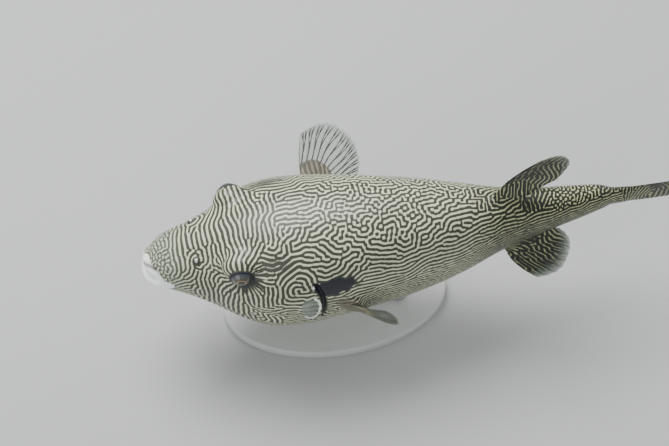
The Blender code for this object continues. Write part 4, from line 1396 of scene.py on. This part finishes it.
def cap_screw():
    """The head of one cap screw, with its hexagonal socket, standing on the level 0."""
    turn = full_turn(24)
    hexagon = math.cos(math.pi / 6) / np.cos((turn % (math.pi / 3)) - math.pi / 6)
    socket_edge = HEX_SOCKET * hexagon
    outline = (
        (SCREW_HEAD, -0.0004), (SCREW_HEAD, SCREW_RISE - 0.0002), (SCREW_HEAD - 0.0002, SCREW_RISE),
        (HEX_SOCKET * 1.12, SCREW_RISE), (socket_edge, SCREW_RISE - 0.0001), (socket_edge, 0.0003),
    )
    return closed_loft(np.array([level_ring(turn, reach, reach, level) for reach, level in outline]))


def screw_tree():
    """Sets a part in a ring. Inputs: the part, how many, the ring's radius, its centre, and the finish."""
    tree, identifiers, given, made = new_node_tree(
        "ring_of_screws", "Screws", Part="Geometry", Count="Int", Ring="Float", Centre="Vector",
        Finish="Material",
    )
    ring = wire(tree, "GeometryNodeMeshCircle", {"Vertices": given["Count"], "Radius": given["Ring"]}).outputs
    ends = {"Points": ring[0], "Instance": given["Part"]}
    real = real_mesh(tree, wire(tree, "GeometryNodeInstanceOnPoints", ends).outputs[0])
    moved = wire(tree, "GeometryNodeTransform", {0: real, "Translation": given["Centre"]}).outputs[0]
    finish_tree(tree, made, moved, given["Finish"])
    return tree, identifiers


screws_tree = screw_tree()
for word in ("front", "rear"):
    collar_low, collar_high = corners(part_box("stand_collar_" + word))
    seat = (*((collar_low + collar_high) / 2)[:2], collar_high[2])
    screw_mesh = new_mesh("cap_screws_" + word, *cap_screw())
    face_outwards(screw_mesh)
    screws = new_piece("cap_screws_" + word, screw_mesh, steel_finish)
    run_nodes(screws, *screws_tree, Count=SCREW_COUNT, Ring=SCREW_RING, Centre=seat, Finish=steel_finish)
    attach(screws, "root")

# ---------------------------------------------------------------------------------------------------
# Where it is shown: a plain pale floor, soft studio light and the camera.
# ---------------------------------------------------------------------------------------------------
VIEW_AZIMUTH, VIEW_ELEVATION = math.radians(9.0), math.radians(62.0)
VIEW_DISTANCE = 2.2
VIEW_TARGET = np.array((-0.0011, -0.006, 0.1792))
VIEW_LENS, SENSOR = 123.71, 36.0

look = np.array((
    math.sin(VIEW_AZIMUTH) * math.cos(VIEW_ELEVATION), math.cos(VIEW_AZIMUTH) * math.cos(VIEW_ELEVATION),
    -math.sin(VIEW_ELEVATION),
))
rightward = np.array((math.cos(VIEW_AZIMUTH), -math.sin(VIEW_AZIMUTH), 0.0))
upward = np.cross(rightward, look)
camera_data = bpy.data.cameras.new("camera")
camera_data.lens, camera_data.sensor_width = VIEW_LENS, SENSOR
camera = bpy.data.objects.new("camera", camera_data)
bpy.context.scene.collection.objects.link(camera)
camera.matrix_world = Matrix.Translation(VIEW_TARGET - look * VIEW_DISTANCE) @ Matrix((
    (rightward[0], upward[0], -look[0], 0), (rightward[1], upward[1], -look[1], 0),
    (rightward[2], upward[2], -look[2], 0), (0, 0, 0, 1),
))
bpy.context.scene.camera = camera
paper_finish, tree, shader = new_finish("floor_paper")
cloud = noise(tree, object_place(tree), 1.3, 2.0)
paper = blend_colours(tree, cloud, (0.440, 0.450, 0.448), (0.475, 0.484, 0.480))
dress(tree, shader, Base_Color=paper, Roughness=maths(tree, "MULTIPLY_ADD", cloud, 0.1, 0.65))
floor_mesh = new_mesh("floor", [(-5, -5, 0), (5, -5, 0), (5, 5, 0), (-5, 5, 0)], [(0, 1, 2, 3)])
floor = new_piece("floor", floor_mesh, paper_finish)

LIGHTS = {  # place, size, watts
    "key": ((-0.35, 0.75, 1.75), 1.1, 50.0),
    "fill": ((-1.30, -1.30, 0.95), 1.6, 13.0),
    "edge": ((1.50, 0.60, 0.80), 1.2, 9.0),
}
for word, (spot, size, watts) in LIGHTS.items():
    light = bpy.data.lights.new(word, "AREA")
    light.energy, light.size = watts, size
    lamp = bpy.data.objects.new(word, light)
    bpy.context.scene.collection.objects.link(lamp)
    lamp.location = spot
    lamp.rotation_euler = (Vector((0.05, 0.0, 0.14)) - Vector(spot)).to_track_quat("-Z", "Y").to_euler()
world = bpy.data.worlds.new("world")
bpy.context.scene.world = world
world.use_nodes = True
background = world.node_tree.nodes["Background"].inputs
background["Color"].default_value = (0.81, 0.83, 0.83, 1)
background["Strength"].default_value = 0.66
